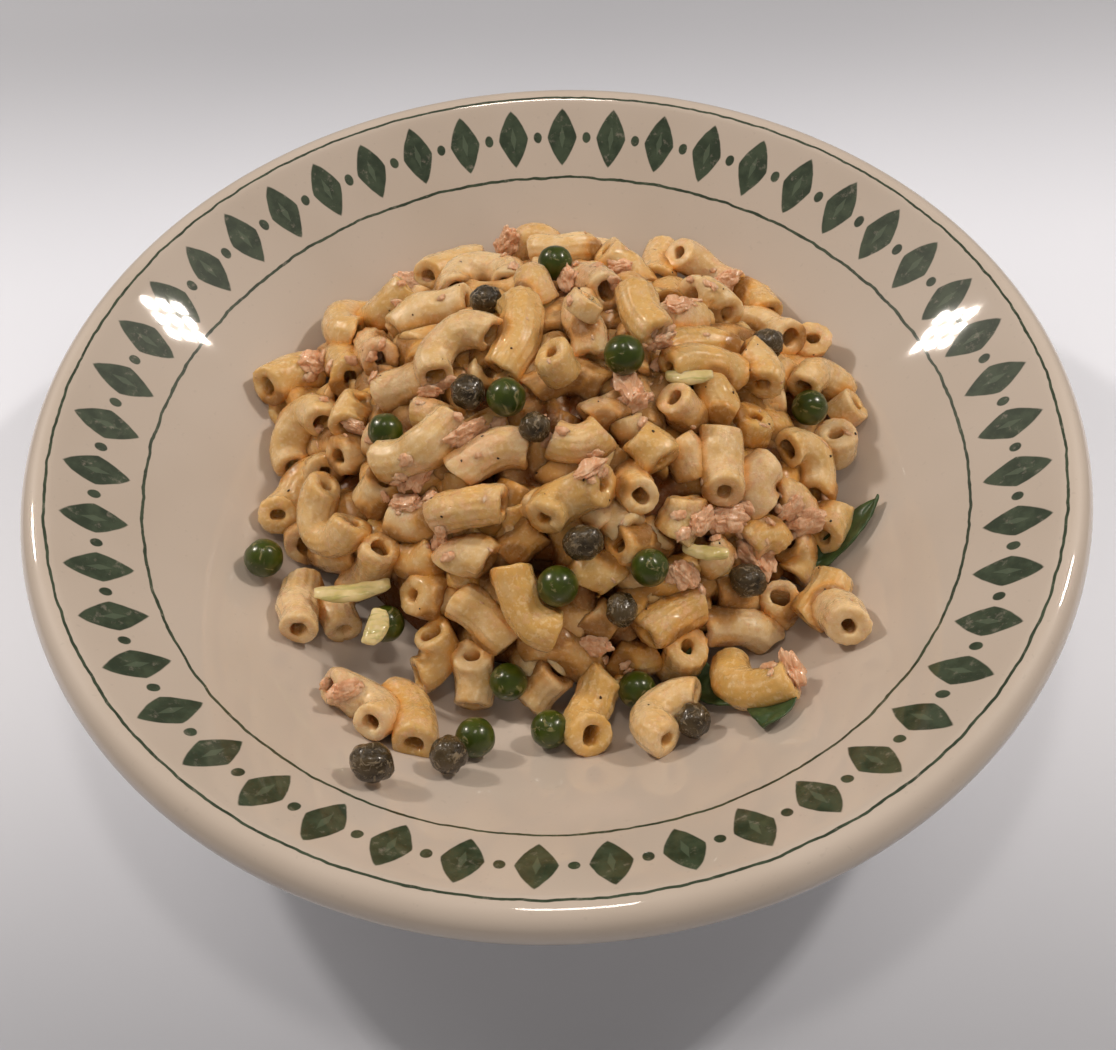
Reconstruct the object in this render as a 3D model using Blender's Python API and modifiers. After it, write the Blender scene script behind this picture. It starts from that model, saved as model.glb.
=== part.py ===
"""A pasta salad heaped in its shallow bowl.

Short curved macaroni lie in an uneven mound with flakes of salmon, peas,
capers, strips of celery and a few leaves. Metres, +Z up. The origin is on
the table, under the middle of the bowl, and the side shown in the
photograph faces -Y.
"""
import math

import bmesh
import bpy
import numpy as np
from mathutils import Matrix, Vector

MM = 0.001
GAP = 0.3 * MM
HEAP_GAP = 1.6 * GAP

# The bowl, which is a turned shape.
BOWL_RADIUS = 108.0 * MM
BOWL_HEIGHT = 46.0 * MM
RIM_ROLL = 4.2 * MM
WALL_SLOPE = math.radians(40.0)
FLOOR_TOP = 6.0 * MM
FLOOR_BOTTOM = 1.6 * MM
COVE_RADIUS = 36.0 * MM
FOOT_INNER = 42.0 * MM
FOOT_OUTER = 49.0 * MM
FOOT_BEVEL = 1.2 * MM
FOOT_TOP = 3.8 * MM
FOOT_FLARE = 1.0 * MM
WALL_FLARE = 9.0 * MM
BOWL_SIDES = 48

# The bare mound under the pasta that shows.
MOUND_X = 3.0 * MM
MOUND_Y = 15.0 * MM
MOUND_HALF_WIDTH = 65.0 * MM
MOUND_TO_FRONT = 64.0 * MM
MOUND_TO_BACK = 59.0 * MM
MOUND_HEIGHT = 41.0 * MM
MOUND_FULLNESS = 0.72
MOUND_SECTORS = 32
MOUND_RINGS = 14

# One macaroni, before each is varied a little.
TUBE_RADIUS = 4.5 * MM
RADIUS_SHARES = (0.95, 1.05)
BORE_RADIUS = 2.4 * MM
BORE_DEPTH = 2.6 * MM
BORED_ENDS = (2, 1, 1)
LIP_SHARE = 0.9
TUBE_SIDES = 6
TUBE_SEGMENTS = 3
LENGTHS = (15.0 * MM, 22.0 * MM)
BENDS = (math.radians(40.0), math.radians(125.0))
MACARONI_ON_MOUND = 80
MACARONI_IN_FRONT = 12
MACARONI_ON_TOP = 7
FRONT_ARC = (math.radians(-145.0), math.radians(-35.0))
FRONT_ROWS = 3
FRONT_ROW_STEP = 0.1
TOP_REACH = 0.55
TOP_TURN = 0.7
EDGE_REACH = 0.985
KEPT_FROM_RIM = 27.0 * MM
BARE_RIM = 8.0 * MM
STEEPEST = 1.6
LARGEST_LEAN = math.radians(50.0)
SINK = 2.0 * MM
TOUCH = 1.5 * MM
GOLDEN_ANGLE = math.pi * (3.0 - math.sqrt(5.0))
SURFACE_STEP = 1.5 * MM
TRIES = 40
LARGEST_MOVE = 5.0 * MM
LARGEST_RISE = 14.0 * MM
SHORTENING = 0.5
SPINE_POINTS = 9
SEED = 7

# Flakes of salmon, fused to the pasta round them.
FLAKES = 12
FLAKE_SIZE = 5.2 * MM
FLAKE_REACH = 0.86
FLAKE_TURN = 2.0
FLAKE_UNEVEN = (0.75, 1.0)
FLAKE_TILT = 0.5
FLAKE_FORM = (0.9, 0.75, 0.85)

# Peas and capers: where each rests, seen from above, and its radius, in mm.
PEAS = (
    (-63.0, -17.5, 4.2), (-35.0, 0.5, 3.8), (-9.0, 0.0, 4.1), (15.5, 8.5, 4.3),
    (2.5, 42.5, 4.0), (57.0, 9.5, 4.0), (-0.5, -35.5, 4.2), (-36.5, -34.0, 3.9),
    (-11.5, -47.5, 3.9), (-18.0, -61.0, 4.0), (-3.5, -58.0, 3.9), (18.0, -32.5, 3.9),
    (14.5, -49.5, 3.9),
)
CAPERS = (
    (-35.5, -71.5, 4.2), (-22.5, -67.0, 4.0), (24.5, -60.0, 3.8), (38.5, -31.5, 4.0),
    (5.0, -29.0, 4.2), (-3.5, -7.0, 3.5), (12.0, -39.0, 3.8), (-17.0, 3.0, 4.0),
    (-13.0, 29.0, 3.8), (48.5, 23.0, 4.0),
)
CAPER_SQUASH = 0.9

# Leaves: root and tip seen from above, half width, all in mm.
LEAVES = (
    ((54.5, -22.5), (70.0, -10.0), 3.4),
    ((24.5, -42.5), (35.0, -57.0), 4.2),
    ((42.5, -52.0), (37.0, -65.0), 4.6),
)
LEAF_THICKNESS = 0.8 * MM
LEAF_WAVE = 0.9 * MM
LEAF_FOLD = 0.8 * MM
LEAF_CUTS = (6, 3)
STEM_SHARE = 0.16
BULGE_START = 0.12
BULGE_FULLNESS = 0.7
WAVE_ALONG = 9.0
WAVE_ACROSS = 2.0
TIP_START = 0.82
TIP_TAPER = 0.9

# Celery: middle seen from above, length, width and heading in degrees.
CELERY = (
    (-43.0, -29.0, 16.0, 5.0, 6.0),
    (-37.0, -39.0, 8.5, 5.4, 75.0),
    (29.0, 5.5, 10.0, 4.2, -2.0),
    (29.5, -29.0, 9.5, 4.0, -14.0),
)
CELERY_THICKNESS = 2.6 * MM
CELERY_TAPER = 0.35
CELERY_THINNING = 0.4
CELERY_CURVE = 0.08
CELERY_SIDES = 6
CELERY_MARKS = 5
LIFTS = 40

COLOURS = {
    "bowl": ((0.80, 0.74, 0.67), 0.18),
    "macaroni": ((0.80, 0.58, 0.34), 0.38),
    "pea": ((0.10, 0.26, 0.05), 0.30),
    "caper": ((0.13, 0.11, 0.06), 0.42),
    "leaf": ((0.05, 0.13, 0.04), 0.45),
    "celery": ((0.52, 0.60, 0.28), 0.35),
}


def clear_scene():
    for old in list(bpy.data.objects):
        bpy.data.objects.remove(old, do_unlink=True)


def new_collection(name):
    collection = bpy.data.collections.new(name)
    bpy.context.scene.collection.children.link(collection)
    return collection


def material(object_name, kind):
    colour, roughness = COLOURS[kind]
    made = bpy.data.materials.new(object_name + "_material")
    made.use_nodes = True
    shader = made.node_tree.nodes["Principled BSDF"]
    shader.inputs["Base Color"].default_value = (*colour, 1.0)
    shader.inputs["Roughness"].default_value = roughness
    shader.inputs["Metallic"].default_value = 0.0
    return made


def object_from(bm, name, kind, collection):
    mesh = bpy.data.meshes.new(name)
    bm.to_mesh(mesh)
    bm.free()
    made = bpy.data.objects.new(name, mesh)
    mesh.materials.append(material(name, kind))
    mesh.shade_smooth()
    mesh.set_sharp_from_angle(angle=math.radians(50.0))
    collection.objects.link(made)
    return made


def arc(centre, radius, start, end, count):
    """Points on an arc in the profile's plane, angles in radians."""
    step = (end - start) / count
    return [
        (centre[0] + radius * math.cos(start + step * i), centre[1] + radius * math.sin(start + step * i))
        for i in range(count + 1)
    ]


def inner_profile():
    """The bowl's inside, from the middle of its floor up to the rim."""
    rim = (BOWL_RADIUS - RIM_ROLL, BOWL_HEIGHT - RIM_ROLL)
    top = (rim[0] - RIM_ROLL * math.sin(WALL_SLOPE), rim[1] + RIM_ROLL * math.cos(WALL_SLOPE))
    corner = top[0] - (top[1] - FLOOR_TOP) / math.tan(WALL_SLOPE)
    cove_start = corner - COVE_RADIUS * math.tan(WALL_SLOPE / 2)
    centre = (cove_start, FLOOR_TOP + COVE_RADIUS)
    cove = arc(centre, COVE_RADIUS, -math.pi / 2, WALL_SLOPE - math.pi / 2, 4)
    return [(0.0, FLOOR_TOP), (cove_start / 2, FLOOR_TOP)] + cove + [top]


def bowl_profile():
    """The whole section: inside, over the rolled rim, down the outside, under the foot."""
    rim = (BOWL_RADIUS - RIM_ROLL, BOWL_HEIGHT - RIM_ROLL)
    roll = arc(rim, RIM_ROLL, math.pi / 2 + WALL_SLOPE, WALL_SLOPE - math.pi / 2, 7)
    inside = inner_profile()
    start = roll[-1]
    wall_foot = start[0] - (start[1] - FOOT_TOP) / math.tan(WALL_SLOPE)
    outside = [
        (wall_foot + WALL_FLARE, FOOT_TOP + WALL_FLARE * math.tan(WALL_SLOPE)),
        (wall_foot + FOOT_FLARE, FOOT_TOP + FOOT_BEVEL + FOOT_FLARE),
        (FOOT_OUTER, FOOT_BEVEL),
        (FOOT_OUTER - FOOT_BEVEL, 0.0),
        (FOOT_INNER + FOOT_BEVEL, 0.0),
        (FOOT_INNER, FLOOR_BOTTOM),
        (0.0, FLOOR_BOTTOM),
    ]
    return inside[:-1] + roll + outside


def make_bowl(collection):
    bm = bmesh.new()
    verts = [bm.verts.new((x, 0.0, z)) for x, z in bowl_profile()]
    for first, second in zip(verts, verts[1:]):
        bm.edges.new((first, second))
    bowl = object_from(bm, "bowl", "bowl", collection)
    screw = bowl.modifiers.new("turn", "SCREW")
    screw.steps = BOWL_SIDES
    screw.render_steps = BOWL_SIDES
    screw.use_merge_vertices = True
    screw.merge_threshold = 0.00001
    screw.use_normal_calculate = True
    return bowl


def wall_height(radius):
    """Height of the bowl's inside at a distance from its axis."""
    points = inner_profile()
    return float(np.interp(radius, [p[0] for p in points], [p[1] for p in points]))


def mound_place(out, angle):
    """A place seen from above, out from the mound's middle as a share of its half widths."""
    across, deep = out * math.cos(angle), out * math.sin(angle)
    reach = MOUND_TO_BACK if deep > 0.0 else MOUND_TO_FRONT
    return MOUND_X + across * MOUND_HALF_WIDTH, MOUND_Y + deep * reach


def mound_height(x, y):
    """Height of the bare mound's dome, whatever the bowl does below it."""
    reach = MOUND_TO_BACK if y > MOUND_Y else MOUND_TO_FRONT
    share = ((x - MOUND_X) / MOUND_HALF_WIDTH) ** 2 + ((y - MOUND_Y) / reach) ** 2
    return FLOOR_TOP + MOUND_HEIGHT * max(0.0, 1.0 - share) ** MOUND_FULLNESS


def floor_height(x, y):
    """Underside of the salad, which follows the bowl."""
    return wall_height(math.hypot(x, y)) + HEAP_GAP


def mound_edge(angle):
    """How far out, as a share of the dome's half widths, the dome meets the bowl."""
    low, high = 0.2, 1.0
    for _ in range(24):
        share = (low + high) / 2
        x, y = mound_place(share, angle)
        if mound_height(x, y) > floor_height(x, y) + GAP:
            low = share
        else:
            high = share
    return low


def make_mound(collection):
    """A sphere whose upper half takes the dome's form and whose lower half takes the bowl's."""
    bm = bmesh.new()
    bmesh.ops.create_uvsphere(bm, u_segments=MOUND_SECTORS, v_segments=MOUND_RINGS, radius=1.0)
    for vert in bm.verts:
        angle = math.atan2(vert.co.y, vert.co.x)
        out = min(1.0, math.hypot(vert.co.x, vert.co.y)) * mound_edge(angle)
        x, y = mound_place(out, angle)
        upper = vert.co.z > -0.001
        vert.co = (x, y, mound_height(x, y) if upper else floor_height(x, y))
    bmesh.ops.triangulate(bm, faces=bm.faces)
    return object_from(bm, "macaroni_heap", "macaroni", collection)


def surface_points(height, radius, step, size):
    """Points on a height field over a disc, for things to rest on, each with its size."""
    count = int(radius / step)
    marks = [i * step for i in range(-count, count + 1)]
    return np.array([(x, y, height(x, y), size) for x in marks for y in marks if math.hypot(x, y) < radius])


def drop(supports, x, y, radius):
    """Lowest height at which a ball over x, y rests on balls whose rows are x, y, z, size."""
    reach = radius + supports[:, 3]
    across = (supports[:, 0] - x) ** 2 + (supports[:, 1] - y) ** 2
    near = across < reach * reach
    if not near.any():
        return 0.0
    return float(np.max(supports[near, 2] + np.sqrt(reach[near] ** 2 - across[near])))


def bent_tube(length, bend, radius, bored_ends):
    """A straight tube with a bore at one or both ends, bent round by the angle given."""
    bm = bmesh.new()
    bmesh.ops.create_cone(
        bm, cap_ends=True, segments=TUBE_SIDES, radius1=radius, radius2=radius, depth=length)
    rails = [e for e in bm.edges if abs(e.verts[0].co.z - e.verts[1].co.z) > length / 2]
    bmesh.ops.subdivide_edges(bm, edges=rails, cuts=TUBE_SEGMENTS - 1)
    caps = [f for f in bm.faces if len(f.verts) == TUBE_SIDES and abs(f.normal.z) > 0.9]
    for cap in caps[:bored_ends]:
        inward = cap.normal.copy() * -BORE_DEPTH
        bmesh.ops.inset_individual(bm, faces=[cap], thickness=(radius - BORE_RADIUS) * LIP_SHARE, depth=0.0)
        bored = bmesh.ops.extrude_discrete_faces(bm, faces=[cap])["faces"]
        bmesh.ops.translate(bm, verts=bored[0].verts, vec=inward)
    turn = length / bend
    for vert in bm.verts:
        around = vert.co.z / turn
        out = turn - vert.co.x
        vert.co.x = turn - out * math.cos(around) - turn * (1 - math.cos(bend / 2)) / 2
        vert.co.z = out * math.sin(around)
    bmesh.ops.triangulate(bm, faces=bm.faces)
    return bm


def tube_spine(length, bend, count):
    """Points along the middle of a bent tube, in the tube's own frame."""
    turn = length / bend
    points = []
    for i in range(count):
        around = (i / (count - 1) - 0.5) * bend
        sag = turn * (1 - math.cos(bend / 2)) / 2
        points.append(Vector((turn - turn * math.cos(around) - sag, 0.0, turn * math.sin(around))))
    return points


def surface_frame(x, y, heading, lean):
    """Axes for a piece lying on the mound: its bend in the surface, its ends along the heading."""
    small = 1.0 * MM
    slope_x = (mound_height(x + small, y) - mound_height(x - small, y)) / (2 * small)
    slope_y = (mound_height(x, y + small) - mound_height(x, y - small)) / (2 * small)
    scale = min(1.0, STEEPEST / max(STEEPEST, math.hypot(slope_x, slope_y)))
    normal = Vector((-slope_x * scale, -slope_y * scale, 1.0)).normalized()
    along = Vector((math.cos(heading), math.sin(heading), 0.0))
    along = (along - normal * along.dot(normal)).normalized()
    side = normal.cross(along)
    turn = Matrix((side, normal, along)).transposed()
    return Matrix.Rotation(lean, 3, along) @ turn, normal


def crosses(points, radius, kept_clear):
    """True where a chain of balls would touch a topping."""
    for centre, size in kept_clear:
        for point in points:
            if (point - centre).length < radius + size + 2 * GAP:
                return True
    return False


def settle(spine, radius, normal, supports):
    """How far a chain of balls moves along the normal to rest on the supports."""
    apart = np.array(spine)[:, None, :] - supports[None, :, :3]
    along = apart @ np.array(normal)
    aside = (apart ** 2).sum(axis=2) - along ** 2
    reach = (radius + supports[:, 3]) ** 2
    heights = np.sqrt(np.maximum(reach - aside, 0.0)) - along
    return float(np.max(np.where(aside < reach, heights, 0.0)))


def touches(spine, radius, supports):
    """True where a chain of balls runs into the balls of the supports far enough to fuse."""
    apart = np.array(spine)[:, None, :] - supports[None, :, :3]
    depth = radius + supports[:, 3] - np.sqrt((apart ** 2).sum(axis=2))
    return float(depth.max()) > TOUCH - SINK


def place_macaroni(draw, x, y, fixed, fused):
    """The closest-lying of several places for one piece, resting on what is there, or None."""
    middle = (x, y)
    best, lowest = None, LARGEST_RISE
    supports = np.concatenate([fixed, fused])
    near = np.hypot(supports[:, 0] - x, supports[:, 1] - y) < LENGTHS[1] + LARGEST_MOVE
    fused_near = fused[np.hypot(fused[:, 0] - x, fused[:, 1] - y) < LENGTHS[1] + LARGEST_MOVE]
    for attempt in range(TRIES):
        effort = attempt / TRIES
        x = middle[0] + draw.uniform(-1.0, 1.0) * LARGEST_MOVE * effort
        y = middle[1] + draw.uniform(-1.0, 1.0) * LARGEST_MOVE * effort
        length = draw.uniform(*LENGTHS) * (1.0 - SHORTENING * effort)
        bend = draw.uniform(*BENDS)
        radius = TUBE_RADIUS * draw.uniform(*RADIUS_SHARES)
        heading = draw.uniform(0.0, 2 * math.pi)
        lean = draw.uniform(-LARGEST_LEAN, LARGEST_LEAN)
        turn, normal = surface_frame(x, y, heading, lean)
        centre = Vector((x, y, mound_height(x, y)))
        spine = [turn @ p + centre for p in tube_spine(length, bend, SPINE_POINTS)]
        rise = settle(spine, radius, normal, supports[near])
        if rise > lowest:
            continue
        centre += normal * rise
        spine = [p + normal * rise for p in spine]
        if max(math.hypot(p.x, p.y) for p in spine) > BOWL_RADIUS - KEPT_FROM_RIM:
            continue
        if touches(spine, radius, fused_near):
            lowest = rise
            best = (length, bend, radius, Matrix.Translation(centre) @ turn.to_4x4(), spine)
    return best


def even_reach(count):
    """Reaches from the crown to the edge, spaced so that pieces lie evenly on the slope."""
    outs = np.linspace(0.0, EDGE_REACH, 200)
    heights = MOUND_HEIGHT * (1.0 - outs ** 2) ** MOUND_FULLNESS
    steps = np.hypot(np.diff(outs) * MOUND_HALF_WIDTH, np.diff(heights))
    area = np.concatenate([[0.0], np.cumsum(outs[1:] * steps)])
    return np.interp((np.arange(count) + 0.5) / count, area / area[-1], outs)


def macaroni_places():
    """Even spread over the mound, then more along its front edge and on its crown."""
    places = [(out, i * GOLDEN_ANGLE) for i, out in enumerate(even_reach(MACARONI_ON_MOUND))]
    for i in range(MACARONI_IN_FRONT):
        share = i / (MACARONI_IN_FRONT - 1)
        angle = FRONT_ARC[0] + (FRONT_ARC[1] - FRONT_ARC[0]) * share
        places.append((1.0 - FRONT_ROW_STEP * (i % FRONT_ROWS), angle))
    for i in range(MACARONI_ON_TOP):
        places.append((TOP_REACH * math.sqrt((i + 0.5) / MACARONI_ON_TOP), i * GOLDEN_ANGLE + TOP_TURN))
    return places


def make_macaroni(collection, fixed, fused):
    """Drop the pieces one after another; each rests on those before it."""
    draw = np.random.default_rng(SEED)
    for i, (out, angle) in enumerate(macaroni_places()):
        x, y = mound_place(out, angle)
        found = place_macaroni(draw, x, y, fixed, fused)
        if found is None:
            continue
        length, bend, radius, place, spine = found
        fused = np.concatenate([fused, [(*p, radius - SINK) for p in spine]])
        bm = bent_tube(length, bend, radius, BORED_ENDS[i % len(BORED_ENDS)])
        bmesh.ops.transform(bm, matrix=place, verts=bm.verts)
        object_from(bm, f"macaroni_{i:02d}", "macaroni", collection)
    return fused


def make_flakes(collection, fixed, fused):
    """Flat, uneven chunks of fish between the pasta."""
    draw = np.random.default_rng(SEED + 1)
    supports = np.concatenate([fixed, fused])
    for i in range(FLAKES):
        x, y = mound_place(FLAKE_REACH * math.sqrt((i + 0.5) / FLAKES), i * GOLDEN_ANGLE + FLAKE_TURN)
        centre = Vector((x, y, drop(supports, x, y, FLAKE_SIZE * 0.5)))
        bm = bmesh.new()
        bmesh.ops.create_icosphere(bm, subdivisions=1, radius=FLAKE_SIZE)
        for vert in bm.verts:
            vert.co *= draw.uniform(*FLAKE_UNEVEN)
        turn = Matrix.Rotation(draw.uniform(0.0, math.pi), 4, "Z")
        tilt = Matrix.Rotation(draw.uniform(-FLAKE_TILT, FLAKE_TILT), 4, "X")
        squash = Matrix.Diagonal((*FLAKE_FORM, 1.0))
        bmesh.ops.transform(bm, matrix=Matrix.Translation(centre) @ turn @ tilt @ squash, verts=bm.verts)
        object_from(bm, f"flake_{i:02d}", "macaroni", collection)


def keep_largest_body(mesh):
    """Drop loose scraps and the walls of sealed hollows, so one closed body is left."""
    bm = bmesh.new()
    bm.from_mesh(mesh)
    left = set(bm.faces)
    groups = []
    while left:
        queue = [left.pop()]
        group = list(queue)
        while queue:
            face = queue.pop()
            for edge in face.edges:
                for other in edge.link_faces:
                    if other in left:
                        left.remove(other)
                        queue.append(other)
                        group.append(other)
        groups.append(group)
    groups.sort(key=len)
    for group in groups[:-1]:
        bmesh.ops.delete(bm, geom=group, context="FACES")
    bmesh.ops.delete(bm, geom=[v for v in bm.verts if not v.link_faces], context="VERTS")
    bmesh.ops.triangulate(bm, faces=bm.faces)
    bm.to_mesh(mesh)
    bm.free()


def fuse(heap, pieces):
    """One union of the mound with every piece in the collection."""
    union = heap.modifiers.new("fuse", "BOOLEAN")
    union.operation = "UNION"
    union.operand_type = "COLLECTION"
    union.collection = pieces
    union.solver = "MANIFOLD"
    bpy.context.view_layer.update()
    evaluated = heap.evaluated_get(bpy.context.evaluated_depsgraph_get())
    mesh = bpy.data.meshes.new_from_object(evaluated)
    keep_largest_body(mesh)
    heap.modifiers.clear()
    heap.data = mesh
    mesh.materials.clear()
    mesh.materials.append(material("macaroni_heap", "macaroni"))
    for piece in list(pieces.objects):
        bpy.data.objects.remove(piece, do_unlink=True)
    bpy.data.collections.remove(pieces)


def make_peas(collection, rest_points):
    balls = []
    for i, (x, y, radius) in enumerate(PEAS):
        x, y, radius = x * MM, y * MM, radius * MM
        centre = Vector((x, y, drop(rest_points, x, y, radius)))
        bm = bmesh.new()
        bmesh.ops.create_icosphere(bm, subdivisions=2, radius=radius)
        pea = object_from(bm, f"pea_{i + 1:02d}", "pea", collection)
        pea.location = centre
        balls.append((centre, radius))
    return balls


def make_capers(collection, rest_points):
    """Buds, a little flattened, with a blunt point at one end."""
    balls = []
    for i, (x, y, radius) in enumerate(CAPERS):
        x, y, radius = x * MM, y * MM, radius * MM
        centre = Vector((x, y, drop(rest_points, x, y, radius)))
        bm = bmesh.new()
        bmesh.ops.create_icosphere(bm, subdivisions=2, radius=radius)
        for vert in bm.verts:
            vert.co.y *= CAPER_SQUASH
            vert.co.z *= CAPER_SQUASH
        caper = object_from(bm, f"caper_{i + 1:02d}", "caper", collection)
        caper.location = centre
        caper.rotation_euler = (0.0, 0.0, i * GOLDEN_ANGLE)
        balls.append((centre, radius))
    return balls


def leaf_point(root, tip, half_width, along, across):
    """A place on the leaf seen from above, along 0 to 1 and across -1 to 1."""
    axis = Vector((tip[0] - root[0], tip[1] - root[1]))
    side = Vector((-axis.y, axis.x)).normalized()
    bulge = math.sin(math.pi * (BULGE_START + (1.0 - BULGE_START) * along)) ** BULGE_FULLNESS
    width = half_width * (STEM_SHARE + (1.0 - STEM_SHARE) * bulge)
    width *= 1.0 - TIP_TAPER * max(0.0, along - TIP_START) / (1.0 - TIP_START)
    place = Vector(root) + axis * along + side * (across * width)
    return place * MM


def make_leaves(collection, rest_points):
    """Thin wavy blades which lie along the bowl's wall beside the mound."""
    taken = []
    for i, (root, tip, half_width) in enumerate(LEAVES):
        bm = bmesh.new()
        bmesh.ops.create_grid(bm, x_segments=LEAF_CUTS[0], y_segments=LEAF_CUTS[1], size=1.0)
        for vert in bm.verts:
            along, across = (vert.co.x + 1.0) / 2, vert.co.y
            place = leaf_point(root, tip, half_width, along, across)
            wave = LEAF_WAVE * (1.0 + math.sin(WAVE_ALONG * along + WAVE_ACROSS * across + i)) / 2
            fold = LEAF_FOLD * across * across
            base = drop(rest_points, place.x, place.y, LEAF_THICKNESS)
            vert.co = (place.x, place.y, base + GAP + wave + fold)
        bmesh.ops.triangulate(bm, faces=bm.faces)
        taken += [(vert.co.copy(), LEAF_THICKNESS) for vert in bm.verts]
        leaf = object_from(bm, f"leaf_{i + 1:02d}", "leaf", collection)
        thick = leaf.modifiers.new("thickness", "SOLIDIFY")
        thick.thickness = LEAF_THICKNESS
        thick.offset = 1.0
    return taken


def make_celery(collection, rest_points, kept_clear):
    """Pale curved strips, thin at the ends."""
    taken = []
    for i, (x, y, length, width, heading) in enumerate(CELERY):
        x, y, length, width = x * MM, y * MM, length * MM, width * MM
        bm = bmesh.new()
        bmesh.ops.create_cone(
            bm, cap_ends=True, segments=CELERY_SIDES, radius1=width / 2, radius2=width / 2, depth=length,
            matrix=Matrix.Rotation(math.pi / 2, 4, "Y"))
        rails = [e for e in bm.edges if abs(e.verts[0].co.x - e.verts[1].co.x) > length / 2]
        bmesh.ops.subdivide_edges(bm, edges=rails, cuts=3)
        for vert in bm.verts:
            end = abs(vert.co.x) / (length / 2)
            vert.co.y *= 1.0 - CELERY_TAPER * end * end
            vert.co.z *= CELERY_THICKNESS / width * (1.0 - CELERY_THINNING * end * end)
            vert.co.y += CELERY_CURVE * length * end * end
        bmesh.ops.triangulate(bm, faces=bm.faces)
        turn = Matrix.Rotation(math.radians(heading), 4, "Z")
        shares = [j / (CELERY_MARKS - 1) - 0.5 for j in range(CELERY_MARKS)]
        marks = [turn @ Vector((share * length, 0.0, 0.0)) for share in shares]
        height = max(drop(rest_points, x + m.x, y + m.y, width / 2) for m in marks)
        for _ in range(LIFTS):
            spine = [Vector((x + m.x, y + m.y, height)) for m in marks]
            if not crosses(spine, width / 2, kept_clear):
                break
            height += GAP
        strip = object_from(bm, f"celery_{i + 1:02d}", "celery", collection)
        strip.matrix_world = Matrix.Translation((x, y, height)) @ turn
        taken += [(p, width / 2) for p in spine]
    return taken


def main():
    clear_scene()
    salad = new_collection("pasta_salad")
    pieces = new_collection("macaroni_pieces")
    make_bowl(salad)
    heap = make_mound(salad)
    reach = BOWL_RADIUS - BARE_RIM
    wall = surface_points(lambda x, y: wall_height(math.hypot(x, y)), reach, SURFACE_STEP, GAP)
    mound = surface_points(mound_height, MOUND_HALF_WIDTH + MOUND_Y, SURFACE_STEP, GAP)
    bare = np.concatenate([wall, mound])
    toppings = make_peas(salad, bare)
    toppings += make_capers(salad, bare)
    toppings += make_leaves(salad, bare)
    toppings += make_celery(salad, bare, toppings)
    fixed = np.concatenate([wall, [(*centre, size + 2 * GAP) for centre, size in toppings]])
    above = [z > floor_height(x, y) + GAP for x, y, z, _ in mound]
    mound[:, 3] = -SINK
    fused = make_macaroni(pieces, fixed, mound[above])
    make_flakes(pieces, fixed, fused)
    fuse(heap, pieces)


main()
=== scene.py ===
import math

import bmesh
import bpy
import numpy as np
from mathutils import Matrix, Vector, noise
from mathutils.bvhtree import BVHTree


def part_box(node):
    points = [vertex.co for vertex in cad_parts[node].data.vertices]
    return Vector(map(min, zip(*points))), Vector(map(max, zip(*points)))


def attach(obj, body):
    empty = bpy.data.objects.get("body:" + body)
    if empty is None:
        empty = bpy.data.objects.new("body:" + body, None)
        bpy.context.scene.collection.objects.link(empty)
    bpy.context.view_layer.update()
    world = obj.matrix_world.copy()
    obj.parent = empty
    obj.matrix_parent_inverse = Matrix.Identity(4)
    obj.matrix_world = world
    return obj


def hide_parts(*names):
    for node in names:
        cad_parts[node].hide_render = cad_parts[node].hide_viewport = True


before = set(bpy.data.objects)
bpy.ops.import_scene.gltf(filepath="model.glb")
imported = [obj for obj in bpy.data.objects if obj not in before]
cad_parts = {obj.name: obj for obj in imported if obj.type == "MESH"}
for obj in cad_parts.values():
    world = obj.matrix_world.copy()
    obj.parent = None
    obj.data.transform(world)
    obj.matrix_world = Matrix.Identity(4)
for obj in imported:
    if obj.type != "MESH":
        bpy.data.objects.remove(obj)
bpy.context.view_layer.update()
mm = 0.001               # everything below is in millimetres until a mesh is made
goldenAngle = math.pi * (3 - math.sqrt(5))


# Camera: the photograph's own frame and viewpoint
photoView = {
    "width": 1116, "height": 1050,   # pixels
    "focal": 1220.0,                 # focal length in those pixels
    "distance": 253.73,              # from the middle of the rim
    "elevation": 54.80,              # degrees above the table
    "roll": -2.893,
    "slideRight": 1.30, "slideUp": -22.45,
    "rimHeight": 41.8,
    "sensor": 36.0,
}


def cameraAxes():
    rise, roll = math.radians(photoView["elevation"]), math.radians(photoView["roll"])
    back = np.array([0.0, -math.cos(rise), math.sin(rise)])
    level = np.array([1.0, 0.0, 0.0])
    upright = np.cross(level, -back)
    right = math.cos(roll) * level + math.sin(roll) * upright
    up = -math.sin(roll) * level + math.cos(roll) * upright
    place = np.array([0.0, 0.0, photoView["rimHeight"]]) + back * photoView["distance"]
    place = place + right * photoView["slideRight"] + up * photoView["slideUp"]
    return place, right, up, back


eye, eyeRight, eyeUp, eyeBack = cameraAxes()


def viewRay(x, y):
    # direction through a pixel, one unit deep
    across = (x - photoView["width"] / 2) / photoView["focal"]
    down = (y - photoView["height"] / 2) / photoView["focal"]
    return eyeRight * across - eyeUp * down - eyeBack


def makeCamera():
    data = bpy.data.cameras.new("photoCamera")
    data.sensor_width = photoView["sensor"]
    data.lens = photoView["focal"] / photoView["width"] * photoView["sensor"]
    data.clip_start = 0.01
    camera = bpy.data.objects.new("photoCamera", data)
    turn = Matrix((eyeRight, eyeUp, eyeBack)).transposed().to_4x4()
    camera.matrix_world = Matrix.Translation(Vector(eye) * mm) @ turn
    bpy.context.scene.collection.objects.link(camera)
    bpy.context.scene.camera = camera
    bpy.context.scene.view_settings.view_transform = "Standard"


makeCamera()
print("camera ready")


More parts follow.
